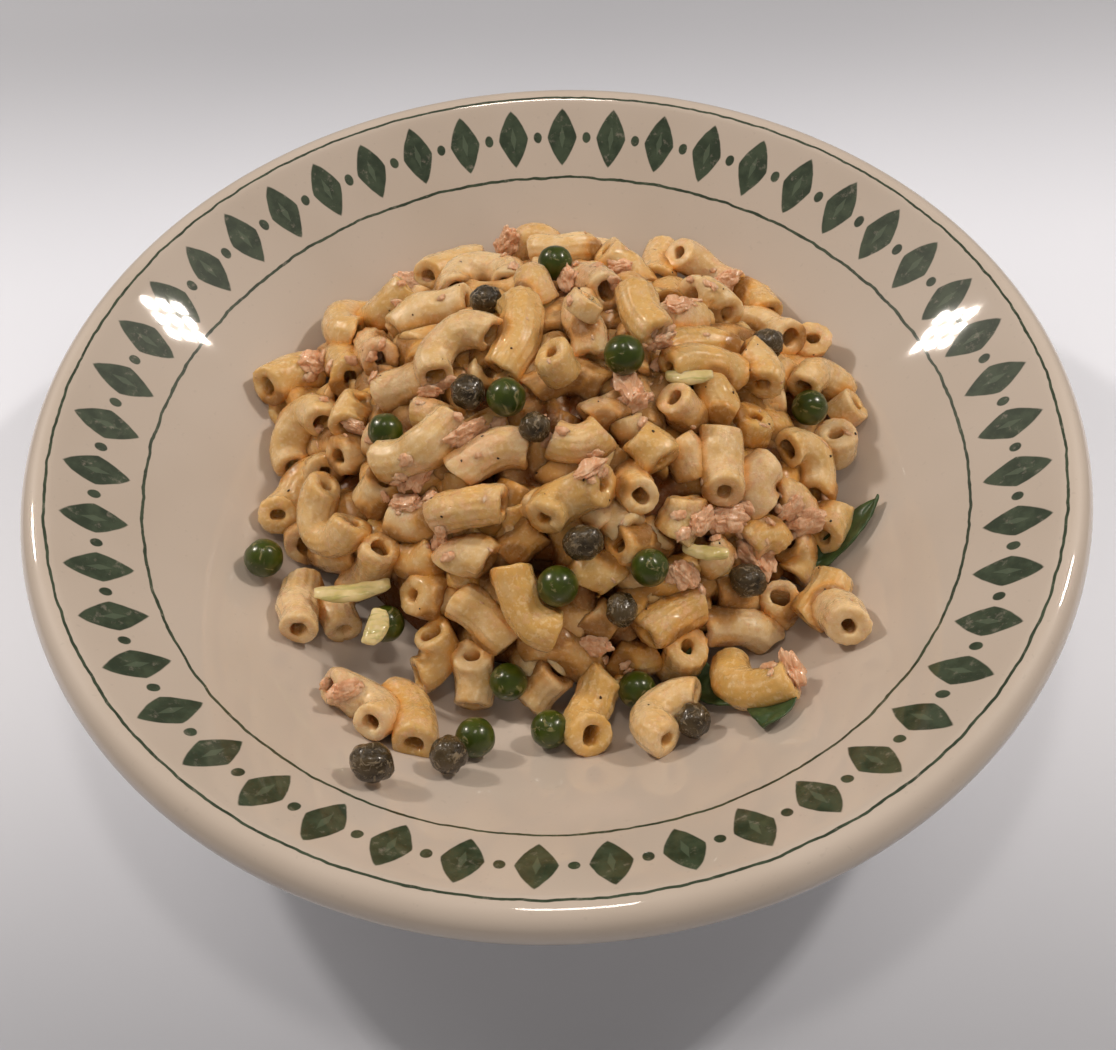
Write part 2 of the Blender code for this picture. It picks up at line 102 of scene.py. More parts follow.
# Helpers for materials
def newMaterial(name, **values):
    made = bpy.data.materials.new(name)
    made.use_nodes = True
    tree = made.node_tree
    shader = tree.nodes["Principled BSDF"]
    for socket, value in values.items():
        shader.inputs[socket.replace("_", " ")].default_value = value
    return made, tree, shader


def add(tree, kind, values=None, **settings):
    made = tree.nodes.new("ShaderNode" + kind)
    for name, value in settings.items():
        setattr(made, name, value)
    for socket, value in (values or {}).items():
        if isinstance(value, bpy.types.NodeSocket):
            tree.links.new(value, made.inputs[socket])
        else:
            made.inputs[socket].default_value = value
    return made


def place(tree):
    return add(tree, "TexCoord").outputs["Object"]


def grain(tree, size, detail=3.0, roughness=0.55, stretch=None, twist=0.0):
    # noise whose blotches are about size millimetres across
    where = place(tree)
    if stretch:
        where = add(tree, "Mapping", {"Vector": where, "Scale": stretch}).outputs[0]
    made = add(tree, "TexNoise", {"Vector": where, "Scale": 1 / (size * mm), "Detail": detail,
                                  "Roughness": roughness, "Distortion": twist})
    return made.outputs["Fac"]


def span(tree, value, low, high, newLow=0.0, newHigh=1.0):
    made = add(tree, "MapRange", {"Value": value, "From Min": low, "From Max": high,
                                  "To Min": newLow, "To Max": newHigh})
    made.interpolation_type = "SMOOTHSTEP"
    return made.outputs["Result"]


def maths(tree, how, first, second=0.0):
    return add(tree, "Math", {0: first, 1: second}, operation=how).outputs[0]


def times(tree, first, second):
    return maths(tree, "MULTIPLY", first, second)


def plus(tree, first, second):
    return maths(tree, "ADD", first, second)


def minus(tree, first, second):
    return maths(tree, "SUBTRACT", first, second)


def rgb(red, green, blue):
    return (red, green, blue, 1.0)


def blendColour(tree, share, first, second):
    return add(tree, "Mix", {0: share, 6: first, 7: second}, data_type="RGBA").outputs[2]


def layOver(tree, colour, mask, amount, other):
    # the other colour over this one, by the mask times the amount
    return blendColour(tree, times(tree, mask, amount), colour, other)


def mottle(tree, size, detail, low, high, tones):
    # two tones in soft blotches
    return blendColour(tree, span(tree, grain(tree, size, detail), low, high), *tones)


def bump(tree, height, distance, strength=1.0, normal=None):
    values = {"Height": height, "Distance": distance * mm, "Strength": strength}
    if normal:
        values["Normal"] = normal
    return add(tree, "Bump", values).outputs["Normal"]


def link(tree, shader, **sources):
    for socket, source in sources.items():
        tree.links.new(source, shader.inputs[socket.replace("_", " ")])


# Helpers for meshes
def pieceFrom(name, points, faces, material, tones=None):
    mesh = bpy.data.meshes.new(name)
    mesh.from_pydata((np.asarray(points) * mm).tolist(), [], faces)
    if tones is not None:
        layer = mesh.color_attributes.new("tone", "FLOAT_COLOR", "POINT")
        layer.data.foreach_set("color", np.asarray(tones, np.float32).ravel())
    mesh.materials.append(material)
    mesh.update()
    mesh.shade_smooth()
    made = bpy.data.objects.new(name, mesh)
    bpy.context.scene.collection.objects.link(made)
    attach(made, "root")
    return made


def gridFaces(rings, sides, start=0, closeRings=False):
    faces = []
    for ring in range(rings if closeRings else rings - 1):
        here, there = start + ring * sides, start + (ring + 1) % rings * sides
        for side in range(sides):
            turn = (side + 1) % sides
            faces.append((here + side, here + turn, there + turn, there + side))
    return faces


def lumps(points, size, seed):
    # smooth noise at each point, about -1 to 1
    moved = np.asarray(points, float) / size + (seed, seed * 1.7, 3.1)
    return np.array([noise.fractal(point, 0.9, 2.0, 2) for point in moved.tolist()])


def unit(vector):
    return vector / np.maximum(np.linalg.norm(vector, axis=-1, keepdims=True), 1e-9)


# Bowl: the same section as the solid, turned finely
bowl = {
    "radius": 108.0, "height": 46.0, "roll": 4.2, "slope": math.radians(40.0),
    "floorTop": 6.0, "floorBottom": 1.6, "cove": 36.0,
    "footInner": 42.0, "footOuter": 49.0, "footBevel": 1.2, "footTop": 3.8,
    "footFlare": 1.0, "wallFlare": 9.0, "steps": 240,
}
border = {
    "middle": 94.6, "halfWidth": 5.6,    # the painted band, from the bowl's axis
    "repeats": 48, "lozenge": 0.31,      # share of a repeat that half a lozenge takes
    "fullness": 1.25, "slit": 2.6,       # how full a lozenge is, and how slim its pale middle
    "dot": 1.15, "line": 0.32, "lineOffset": 7.7, "wobble": 0.9,
    "lowest": 30.0, "facing": 0.05,      # it is on the inside wall alone, where the glaze faces up
}
glaze = {
    "cream": (rgb(0.555, 0.482, 0.420), rgb(0.523, 0.450, 0.386)),
    "speck": rgb(0.34, 0.30, 0.26), "speckShare": 0.16,
    "green": (rgb(0.018, 0.034, 0.016), rgb(0.042, 0.066, 0.036)),
    "slit": rgb(0.10, 0.14, 0.09), "slitShare": 0.55,
}


def arcPoints(x, z, radius, start, end, count):
    turns = np.linspace(start, end, count + 1)
    return [(x + radius * math.cos(turn), z + radius * math.sin(turn)) for turn in turns]


def bowlSection():
    slope, roll = bowl["slope"], bowl["roll"]
    rimX, rimZ = bowl["radius"] - roll, bowl["height"] - roll
    topX, topZ = rimX - roll * math.sin(slope), rimZ + roll * math.cos(slope)
    corner = topX - (topZ - bowl["floorTop"]) / math.tan(slope)
    coveX = corner - bowl["cove"] * math.tan(slope / 2)
    inside = [(0.01, bowl["floorTop"])]
    inside += [(coveX * share, bowl["floorTop"]) for share in (0.25, 0.5, 0.75)]
    inside += arcPoints(coveX, bowl["floorTop"] + bowl["cove"], bowl["cove"],
                        -math.pi / 2, slope - math.pi / 2, 12)
    wallX, wallZ = inside[-1]
    inside += [(wallX + (topX - wallX) * share, wallZ + (topZ - wallZ) * share)
               for share in np.linspace(0.08, 0.96, 12)]
    rim = arcPoints(rimX, rimZ, roll, math.pi / 2 + slope, slope - math.pi / 2, 18)
    startX, startZ = rim[-1]
    wallFoot = startX - (startZ - bowl["footTop"]) / math.tan(slope)
    outside = [(wallFoot + out, bowl["footTop"] + out * math.tan(slope))
               for out in (bowl["wallFlare"] * 2, bowl["wallFlare"])]
    outside += [
        (wallFoot + bowl["footFlare"], bowl["footTop"] + bowl["footBevel"] + bowl["footFlare"]),
        (bowl["footOuter"], bowl["footBevel"]),
        (bowl["footOuter"] - bowl["footBevel"], 0.0),
        (bowl["footInner"] + bowl["footBevel"], 0.0),
        (bowl["footInner"], bowl["floorBottom"]),
        (0.01, bowl["floorBottom"]),
    ]
    return inside, rim, outside


bowlInside, bowlRim, bowlOutside = bowlSection()
wallX = np.array([point[0] for point in bowlInside + bowlRim[:1]])
wallZ = np.array([point[1] for point in bowlInside + bowlRim[:1]])


def wallHeight(radius):
    return np.interp(radius, wallX, wallZ)


def paintedBand(tree):
    # lozenges and dots between two thin lines, worked out round the axis, and the pale middles
    parts = add(tree, "SeparateXYZ", {0: place(tree)})
    x, y = parts.outputs[0], parts.outputs[1]
    across = maths(tree, "POWER", plus(tree, times(tree, x, x), times(tree, y, y)), 0.5)
    wobble = times(tree, minus(tree, grain(tree, 5, 2), 0.5), border["wobble"] * mm)
    fromMiddle = plus(tree, minus(tree, across, border["middle"] * mm), wobble)
    aside = maths(tree, "ABSOLUTE", fromMiddle)
    turn = times(tree, maths(tree, "ARCTAN2", y, x), border["repeats"] / (2 * math.pi))
    phase = minus(tree, maths(tree, "FRACT", plus(tree, turn, 100.0)), 0.5)
    round = maths(tree, "ABSOLUTE", phase)
    width = maths(tree, "DIVIDE", round, border["lozenge"])
    height = maths(tree, "DIVIDE", aside, border["halfWidth"] * mm)
    lozenge = span(tree, plus(tree, maths(tree, "POWER", width, border["fullness"]),
                              maths(tree, "POWER", height, border["fullness"])), 1.0, 0.9)
    slit = span(tree, plus(tree, times(tree, width, border["slit"]),
                           times(tree, height, border["fullness"])), 0.55, 0.42)
    pitch = 2 * math.pi * border["middle"] / border["repeats"] * mm
    fromDot = times(tree, minus(tree, 0.5, round), pitch)
    spread = plus(tree, times(tree, fromDot, fromDot), times(tree, fromMiddle, fromMiddle))
    dot = span(tree, maths(tree, "POWER", spread, 0.5), border["dot"] * mm, border["dot"] * mm * 0.8)
    edge = maths(tree, "ABSOLUTE", minus(tree, aside, border["lineOffset"] * mm))
    line = span(tree, edge, border["line"] * mm, border["line"] * mm * 0.6)
    painted = maths(tree, "MAXIMUM", maths(tree, "MAXIMUM", lozenge, dot), line)
    inner = maths(tree, "GREATER_THAN", parts.outputs[2], border["lowest"] * mm)
    facing = add(tree, "SeparateXYZ", {0: add(tree, "NewGeometry").outputs["Normal"]}).outputs[2]
    upward = maths(tree, "GREATER_THAN", facing, border["facing"])
    return times(tree, painted, times(tree, inner, upward)), slit


def glazeMaterial():
    made, tree, shader = newMaterial("creamGlaze", Roughness=0.5, IOR=1.45, Coat_Weight=1.0,
                                     Coat_Roughness=0.03, Coat_IOR=1.5)
    cream = mottle(tree, 38, 2, 0.35, 0.7, glaze["cream"])
    speck = span(tree, grain(tree, 1.1, 1, 0.4), 0.70, 0.78)
    cream = layOver(tree, cream, speck, glaze["speckShare"], glaze["speck"])
    painted, slit = paintedBand(tree)
    wear = span(tree, grain(tree, 2.2, 4, 0.7), 0.25, 0.45, 0.72, 1.0)
    green = mottle(tree, 3.5, 3, 0.35, 0.65, glaze["green"])
    green = layOver(tree, green, slit, glaze["slitShare"], glaze["slit"])
    colour = layOver(tree, cream, painted, wear, green)
    ripple = bump(tree, grain(tree, 26, 2, 0.4), 0.20, 0.2)
    link(tree, shader, Base_Color=colour, Normal=ripple, Coat_Normal=ripple)
    return made


def makeBowl():
    section = np.array(bowlInside + bowlRim + bowlOutside)
    turns = np.arange(bowl["steps"]) * 2 * math.pi / bowl["steps"]
    points = [[(x * math.cos(turn), x * math.sin(turn), z) for turn in turns] for x, z in section]
    made = pieceFrom("bowl_glazed", np.array(points).reshape(-1, 3),
                     gridFaces(len(section), bowl["steps"]), glazeMaterial())
    bm = bmesh.new()
    bm.from_mesh(made.data)
    bmesh.ops.recalc_face_normals(bm, faces=bm.faces)
    bm.to_mesh(made.data)
    bm.free()
    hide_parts("bowl")


makeBowl()
print("bowl ready")


# Heap: where the macaroni lie
mound = {
    "x": 3.0, "y": 15.0, "halfWidth": 65.0, "toFront": 64.0, "toBack": 59.0,
    "height": 41.0, "fullness": 0.72,
    "coreDrop": 7.5,          # how far the unseen core lies under the solid's bare mound
}
macaroni = {
    "radius": 4.18, "bore": 1.75, "uneven": 0.08, "boreShares": (0.80, 1.2), "spinePoints": 17, "seed": 7,
    "length": (15, 22), "bend": (40, 130), "tilt": 35, "lean": 25, "steepest": 1.5,    # of those filled in
    "endReach": 9.0,                     # how much nearer or farther an end may lie than the middle
    "slant": 0.24, "raggedEnd": 0.40, "swell": 0.09, "flat": 0.07, "threeSided": 0.05,
    "flatBore": 0.20, "ridges": (0.05, 0.20), "kink": 0.65, "cutReach": 2.5, "frayReach": 1.2,
    "lipStart": 2.1, "inward": (0.7, 1.9, 4.5),      # where the round lip begins, and rings in the bore
    # inset from the end, share of the wall and strength of the ridges on the lip
    "lip": ((0.60, 0.03, 0.8), (0.22, 0.11, 0.6), (0.03, 0.28, 0.3), (0.0, 0.62, 0.1), (0.10, 0.92, 0.0)),
    "coat": 0.17, "coatSize": 3.0, "fineCoat": 0.06, "fineSize": 1.1,    # the dressing that clings to it
    "coatInside": 0.3,
    "web": 1.0, "webShare": 0.4,         # how dressing fills in beside a neighbour
    "creaseShade": 2.8, "creaseShadeShare": 0.74,  # how far the painted shade of a gap reaches, and how strong it is
    "deepShadeFrom": 2.5, "deepShadeReach": 6.0,   # heights over the bare mound below which a piece takes painted shade
    "pink": 0.55, "pinkReach": 1.25,     # salmon colour on any piece, and round each flake
}
filled = [      # macaroni in an even spread: height, how many are tried, turn, room they may take
    (3.2, 120, 0.4, 1.508), (-2.6, 150, 1.9, 3.4),
]
deepFill = {"lift": -6.6, "count": 280, "turn": 0.9, "room": 0.4}      # those that only show through gaps
fineness = {     # sides and segments of one macaroni, by how well it shows
    "shown": (56, 16), "lifted": (48, 10), "inner": (24, 7), "under": (16, 5),
    "liftedOver": 1.0, "besideReach": 26.0,
}
core = {
    # the last share of the tone paints the whole core with the painted shade of the deep gaps
    "rings": 46, "sides": 140, "under": 1.2, "overBowl": 0.3, "tone": (0.2, 0.3, 0.0, 1.0),
    "lumps": ((3.0, 5.0, 2.2), (9.0, 2.2, 0.7)),     # seed, size and height
}
settling = {
    "balls": 7, "endInset": 3.0,         # balls that stand for a macaroni, the last ones short of its ends
    "softness": 0.3,                     # how far two may press into each other
    "steps": 170, "refresh": 8, "sight": 3.0,
    "fall": 0.10, "slide": 4.0,          # how far a shown one may drift along the line of sight
    "give": 0.35,                        # a shown one gives way less than one that is filled in
    "hold": 0.22, "pullBack": 0.3, "upright": (0.10, 0.01),
    "calm": 0.4, "push": 0.9, "twist": 0.5, "inertia": 4.0,
    "largestShift": 1.2, "largestTurn": 0.08, "corePush": 1.5,
    "crowded": 3.0, "topping": 3.8, "toppingRoom": 3.0, "overBowl": 2.0,
}
# Each macaroni that the photograph shows: pixels of one end, the middle and the other end, then how
# high its middle line lies over the bare mound, and how far each end turns towards the viewer
backRidge = [
    (518, 252, 535, 241, 552, 253, 4, -2, -3), (530, 275, 537, 291, 545, 306, 4, 5, -4),
    (455, 288, 480, 268, 506, 283, 4, 0, 0), (396, 336, 436, 308, 468, 298, 3, 0, 0),
    (492, 333, 447, 340, 434, 378, 6, 0, 0), (512, 302, 519, 335, 502, 370, 4, 0, 0),
    (575, 302, 587, 330, 592, 354, 4, 0, 0), (550, 351, 557, 363, 565, 374, 4, 5, -4),
    (530, 392, 566, 378, 606, 389, 0.5, 0, 0), (560, 262, 588, 251, 617, 268, 3, 0, 0),
    (607, 293, 592, 282, 577, 275, 4, 3, -2), (590, 297, 585, 306, 580, 316, 6, 3, -3),
    (635, 291, 642, 318, 656, 338, 5, 2, 0), (640, 330, 632, 350, 626, 372, 2, 0, 0),
    (657, 280, 659, 263, 663, 249, 2, 2, -4), (690, 293, 709, 298, 727, 312, 4, 0, 0),
    (768, 311, 757, 300, 746, 296, 2.5, 4, -3), (697, 316, 680, 318, 665, 327, 2, 0, 0),
    (664, 352, 698, 344, 731, 350, 2, 0, 0), (668, 370, 706, 366, 741, 377, 5, 0, 0),
    (744, 348, 757, 362, 762, 385, 2, 0, 0), (754, 381, 773, 374, 796, 371, 1.5, 0, 0),
    (713, 379, 716, 398, 727, 412, 5, 0, 0), (674, 397, 681, 408, 690, 418, 4, 5, -4),
]
leftFlank = [
    (362, 342, 347, 320, 386, 319, 2.5, 0, 0), (330, 350, 346, 360, 352, 380, 4, 0, 0),
    (386, 359, 370, 351, 355, 349, 3, 2, 0), (384, 394, 405, 385, 436, 376, 3, 0, 0),
    (267, 390, 298, 374, 320, 368, 3, 0, 0), (278, 401, 305, 400, 336, 394, 1.5, 0, 0),
    (322, 424, 293, 436, 294, 466, 3, 0, 0), (363, 398, 353, 413, 346, 430, 5, 0, 2),
    (338, 455, 349, 451, 360, 446, 3.5, 5, -4), (280, 517, 298, 491, 324, 474, 2.5, 3, 0),
    (384, 456, 420, 449, 456, 416, 6, 0, 0), (328, 483, 318, 511, 354, 521, 6, 0, 0),
    (386, 482, 375, 494, 364, 505, 3, 3, 0), (418, 411, 433, 416, 448, 426, 3, 0, 0),
    (300, 581, 298, 606, 294, 631, 2.5, 0, 0), (330, 602, 337, 618, 344, 630, 1.5, 0, 0),
    (322, 549, 342, 551, 362, 550, 1.5, 0, 0), (389, 547, 369, 571, 346, 586, 3, 4, 0),
    (412, 583, 428, 590, 446, 600, 2.5, 3, 0), (404, 556, 424, 561, 442, 556, 0, 0, 0),
]
middleRows = [
    (458, 472, 491, 450, 530, 443, 5, 0, 0), (551, 439, 577, 441, 603, 426, 6, 0, 0),
    (431, 517, 468, 506, 505, 503, 7, 0, 0), (543, 520, 572, 492, 606, 482, 6, 3, 3),
    (641, 495, 635, 481, 629, 472, 4, 5, -4), (585, 420, 600, 416, 616, 426, 3.5, 0, 0),
    (664, 462, 652, 446, 637, 431, 6, 1, 0), (673, 440, 690, 456, 701, 470, 3.5, 0, 0),
    (712, 426, 718, 459, 722, 493, 6, 0, 4), (758, 413, 751, 425, 745, 438, 4, 5, -4),
    (765, 463, 755, 489, 763, 508, 5, 0, 0), (773, 493, 791, 505, 800, 523, 4, 0, 0),
    (685, 498, 683, 521, 676, 541, 7, 0, 0), (742, 540, 760, 533, 776, 546, 5, 0, 0),
    (786, 536, 796, 555, 791, 575, 3, 0, 0), (450, 566, 466, 553, 491, 560, 6, 0, 0),
    (455, 598, 483, 618, 514, 640, 4, 0, 0), (515, 565, 523, 606, 556, 634, 7.5, 0, 0),
    (583, 584, 599, 573, 615, 580, 3, 0, 0), (628, 556, 640, 546, 651, 540, 4, 5, -4),
    (704, 545, 713, 555, 721, 566, 3, 0, 0), (645, 633, 672, 615, 704, 601, 5, 3, 0),
    (586, 608, 597, 621, 608, 633, 1, 0, 0), (690, 520, 712, 515, 735, 522, -1.5, 0, 0),
    (506, 556, 520, 541, 538, 524, 0.5, 0, 0), (606, 650, 628, 656, 652, 648, -0.5, 0, 0),
]
rightFlank = [
    (785, 446, 812, 462, 813, 497, 4, 0, 0), (836, 416, 848, 406, 858, 402, 1.5, 0, 0),
    (834, 434, 838, 445, 843, 455, 2.5, 5, -4), (823, 537, 833, 520, 836, 506, 2.5, 2, 0),
    (838, 580, 829, 602, 813, 625, 5, 0, 0), (850, 622, 842, 617, 832, 612, 2, 3, -2),
    (780, 598, 778, 612, 774, 623, 2.5, 4, -3), (700, 632, 736, 625, 770, 642, 1, 0, 0),
]
frontEdge = [
    (433, 628, 438, 655, 418, 677, 7, 0, 0), (472, 652, 474, 677, 472, 705, 2, 0, 0),
    (557, 668, 540, 688, 528, 706, 2.5, 0, 0), (331, 690, 354, 692, 376, 724, 2.5, 0, 0),
    (380, 697, 404, 716, 413, 754, 5, 0, 0), (687, 647, 683, 658, 676, 668, 3.5, 5, -4),
    (730, 661, 747, 689, 795, 685, 4, 0, 0), (583, 737, 593, 700, 618, 672, 6, 2, 0),
    (667, 739, 656, 706, 692, 693, 4, 1, 0),
]


def moundHeight(x, y, drop=0.0):
    reach = np.where(np.asarray(y) > mound["y"], mound["toBack"], mound["toFront"]) - drop
    share = ((x - mound["x"]) / (mound["halfWidth"] - drop)) ** 2 + ((y - mound["y"]) / reach) ** 2
    return bowl["floorTop"] + (mound["height"] - drop) * np.maximum(0.0, 1 - share) ** mound["fullness"]


def restHeight(x, y):
    # the higher of the bare mound and the bowl
    return np.maximum(moundHeight(x, y), wallHeight(np.hypot(x, y)))


rayDepths = np.arange(150.0, 340.0, 0.25)


def alongRay(x, y, lift):
    # where the ray through a pixel meets the heap, raised by lift, or passes it closest
    points = eye + rayDepths[:, None] * viewRay(x, y)
    over = points[:, 2] - restHeight(points[:, 0], points[:, 1]) - lift
    under = np.flatnonzero(over < 0)
    if len(under):
        return rayDepths[under[0]], points[under[0]]
    near = over.argmin()
    lowered = points[near].copy()
    lowered[2] -= over[near]
    return rayDepths[near], lowered


def roundSpine(first, middle, last, count):
    # points evenly spaced on the arc through three places
    one, two = middle - first, last - first
    axis = np.cross(one, two)
    if np.linalg.norm(axis) < 4.0:
        return first + np.linspace(0, 1, count)[:, None] * two
    centre = first + (np.cross(axis, one) * two.dot(two) + np.cross(two, axis) * one.dot(one)) / (
        2 * axis.dot(axis))
    right = unit(first - centre)
    ahead = np.cross(unit(axis), right)
    out = last - centre
    sweep = math.atan2(out.dot(ahead), out.dot(right)) % (2 * math.pi)
    turns = np.linspace(0, sweep, count)[:, None]
    return centre + np.linalg.norm(first - centre) * (np.cos(turns) * right + np.sin(turns) * ahead)


def spineLength(spine):
    return np.linalg.norm(np.diff(spine, axis=0), axis=1).sum()


def shownSpines():
    spines = []
    for ax, ay, mx, my, bx, by, lift, turnA, turnB in (
            backRidge + leftFlank + middleRows + rightFlank + frontEdge):
        depth, middle = alongRay(mx, my, lift)
        ends = []
        for x, y, turn in ((ax, ay, turnA), (bx, by, turnB)):
            endDepth = alongRay(x, y, lift)[0] - turn
            endDepth = depth + np.clip(endDepth - depth, -macaroni["endReach"], macaroni["endReach"])
            ends.append(eye + endDepth * viewRay(x, y))
        spines.append(roundSpine(ends[0], middle, ends[1], macaroni["spinePoints"]))
    return spines


def tipped(draw, first, second, most):
    # two directions turned in their own plane by up to most degrees
    turn = math.radians(draw.uniform(-most, most))
    return (first * math.cos(turn) + second * math.sin(turn),
            second * math.cos(turn) - first * math.sin(turn))


def laidSpine(draw, x, y, lift):
    # a macaroni of its own length and bend lying on the slope at x, y
    length, bend = draw.uniform(*macaroni["length"]), math.radians(draw.uniform(*macaroni["bend"]))
    turn = length / bend
    angles = np.linspace(-bend / 2, bend / 2, macaroni["spinePoints"])
    flat = np.stack([turn * np.sin(angles), turn * (np.cos(angles) - math.cos(bend / 4)),
                     np.zeros_like(angles)], axis=1)
    slopeX = float(moundHeight(x + 1, y) - moundHeight(x - 1, y)) / 2
    slopeY = float(moundHeight(x, y + 1) - moundHeight(x, y - 1)) / 2
    steep = min(1.0, macaroni["steepest"] / max(1e-6, math.hypot(slopeX, slopeY)))
    normal = unit(np.array([-slopeX * steep, -slopeY * steep, 1.0]))
    heading = draw.uniform(0, 2 * math.pi)
    along = np.array([math.cos(heading), math.sin(heading), 0.0])
    along = unit(along - normal * along.dot(normal))
    side, normal = tipped(draw, np.cross(normal, along), normal, macaroni["tilt"])
    along, normal = tipped(draw, along, normal, macaroni["lean"])
    base = np.array([x, y, float(restHeight(x, y))])
    return base + normal * lift + flat @ np.stack([along, side, normal])


def spreadPlaces(count, shift):
    # places spaced evenly over the slope of the mound
    outs = np.linspace(0, 0.99, 200)
    rise = mound["height"] * (1 - outs ** 2) ** mound["fullness"]
    area = np.cumsum(outs[1:] * np.hypot(np.diff(outs) * mound["halfWidth"], np.diff(rise)))
    reach = np.interp((np.arange(count) + 0.5) / count, area / area[-1], outs[1:])
    angles = np.arange(count) * goldenAngle + shift
    deep = np.where(np.sin(angles) > 0, mound["toBack"], mound["toFront"])
    xs = mound["x"] + reach * np.cos(angles) * mound["halfWidth"]
    ys = mound["y"] + reach * np.sin(angles) * deep
    return zip(xs, ys)


# Flakes of salmon that the photograph shows: pixel, length, width, turn in the picture, height
salmon = [
    (507, 243, 7, 4.5, 20, 6), (415, 283, 7, 4, 160, 5), (567, 277, 5, 3.5, 60, 4), (620, 267, 5, 3, 0, 3),
    (627, 382, 8, 4, 100, 7), (634, 402, 6, 4.5, 70, 6), (315, 361, 6, 4, 30, 4), (375, 356, 5, 3.5, 100, 4),
    (418, 478, 5, 3.5, 45, 8), (407, 504, 6, 4, 150, 5), (430, 390, 4, 3, 10, 5), (440, 540, 6, 4, 60, 5),
    (678, 305, 5, 3.5, 30, 4), (725, 281, 6, 4, 0, 2), (745, 552, 7, 5, 20, 5), (763, 562, 6, 4, 110, 5),
    (685, 575, 5, 3.5, 140, 6), (730, 519, 7, 4.5, 170, 5), (806, 521, 6, 4, 30, 5), (790, 508, 5, 3, 80, 5),
    (864, 432, 5, 3.5, 70, 3), (660, 340, 5, 3.5, 20, 5), (590, 470, 5, 3.5, 30, 5), (465, 433, 7, 4, 170, 8),
    (540, 425, 6, 3.5, 20, 7), (398, 640, 5, 3.5, 120, 4), (345, 690, 5, 3, 10, 5), (790, 672, 6, 5, 150, 6),
    (596, 645, 5, 3.5, 0, 6), (355, 425, 5, 3, 80, 7), (300, 350, 5, 3, 20, 4), (700, 520, 6, 4, 20, 5),
]


def ballsOf(spine):
    # the places of a chain of balls that stand for a macaroni while it settles
    length = spineLength(spine)
    inset = min(settling["endInset"], length / 4) / length
    shares = np.linspace(inset, 1 - inset, settling["balls"])
    own = np.linspace(0, 1, len(spine))
    return np.stack([np.interp(shares, own, spine[:, axis]) for axis in range(3)], axis=1)


salmonSpots = np.array([(*alongRay(x, y, lift)[1], max(length, width) * 0.62)
                        for x, y, length, width, _, lift in salmon])


def toppingBalls():
    balls = []
    for node in sorted(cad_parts):
        if node.startswith(("pea", "caper")):
            low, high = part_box(node)
            balls.append((*((low + high) / 2 / mm), max(high - low) / 2 / mm))
        elif node.startswith("celery"):
            spots = np.array([vert.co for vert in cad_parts[node].data.vertices]) / mm
            low, high = spots.min(0), spots.max(0)
            for share in (0.15, 0.38, 0.62, 0.85):
                balls.append((*(low + (high - low) * [share, 0.5, 0.5]), 1.6))
    return np.array(balls)


def turnBy(vectors):
    # small rotation matrices from rotation vectors
    angle = np.linalg.norm(vectors, axis=1)
    axis = vectors / np.maximum(angle, 1e-9)[:, None]
    skew = np.zeros((len(vectors), 3, 3))
    skew[:, 0, 1], skew[:, 0, 2], skew[:, 1, 2] = -axis[:, 2], axis[:, 1], -axis[:, 0]
    skew -= skew.transpose(0, 2, 1)
    sine, cosine = np.sin(angle)[:, None, None], np.cos(angle)[:, None, None]
    return np.eye(3) + sine * skew + (1 - cosine) * (skew @ skew)


wallShares = np.linspace(0, 1, 160)
wallSpots = np.stack([np.interp(wallShares, np.linspace(0, 1, len(wallX)), line) for line in (wallX, wallZ)],
                     axis=1)


def pushFromBowl(points, radii):
    # how each ball moves to stay off the inside of the bowl
    out = np.hypot(points[:, 0], points[:, 1])
    away = np.stack([out, points[:, 2]], axis=1)[:, None, :] - wallSpots[None]
    nearest = (away ** 2).sum(axis=2).argmin(axis=1)
    gap = away[np.arange(len(points)), nearest]
    depth = np.linalg.norm(gap, axis=1)
    below = points[:, 2] < wallHeight(out)
    slope = np.gradient(wallSpots[:, 1]) / np.maximum(np.gradient(wallSpots[:, 0]), 1e-6)
    normal = unit(np.stack([-slope, np.ones_like(slope)], axis=1))[nearest]
    push = np.maximum(0.0, radii - np.where(below, -depth, depth))
    radial = push * normal[:, 0]
    safe = np.maximum(out, 1e-6)
    return np.stack([radial * points[:, 0] / safe, radial * points[:, 1] / safe,
                     push * normal[:, 1]], axis=1)


def pushFromCore(points, radii):
    core = moundHeight(points[:, 0], points[:, 1], mound["coreDrop"])
    slopeX = moundHeight(points[:, 0] + 1, points[:, 1], mound["coreDrop"]) - core
    slopeY = moundHeight(points[:, 0], points[:, 1] + 1, mound["coreDrop"]) - core
    normal = unit(np.stack([-slopeX, -slopeY, np.ones_like(slopeX)], axis=1))
    push = np.maximum(0.0, radii - (points[:, 2] - core) * normal[:, 2])
    return normal * np.minimum(push, settling["corePush"])[:, None]


def nearPairs(points, owner, reach):
    # balls of different macaroni that may soon touch
    apart = ((points[:, None] - points[None]) ** 2).sum(axis=2)
    near = apart < (reach[:, None] + reach[None] + settling["sight"]) ** 2
    return np.nonzero(np.triu(near & (owner[:, None] != owner[None]), 1))


def pushFromToppings(points, reach, toppings):
    away = points[:, None] - toppings[None, :, :3]
    far = np.linalg.norm(away, axis=2)
    deep = np.maximum(0.0, reach[:, None] + toppings[None, :, 3] - far)
    return (away / np.maximum(far, 1e-6)[:, :, None] * deep[:, :, None]).sum(axis=1)


def pairMoves(points, owner, reach, ease, first, second):
    # how two balls that run into each other part
    gap = points[first] - points[second]
    distance = np.linalg.norm(gap, axis=1)
    over = np.maximum(0.0, reach[first] + reach[second] - settling["softness"] - distance)
    share = ease[owner[first]] / (ease[owner[first]] + ease[owner[second]])
    push = gap / np.maximum(distance, 1e-6)[:, None] * over[:, None]
    return [(owner[first], points[first], push * share[:, None], over > 0),
            (owner[second], points[second], -push * (1 - share)[:, None], over > 0)]


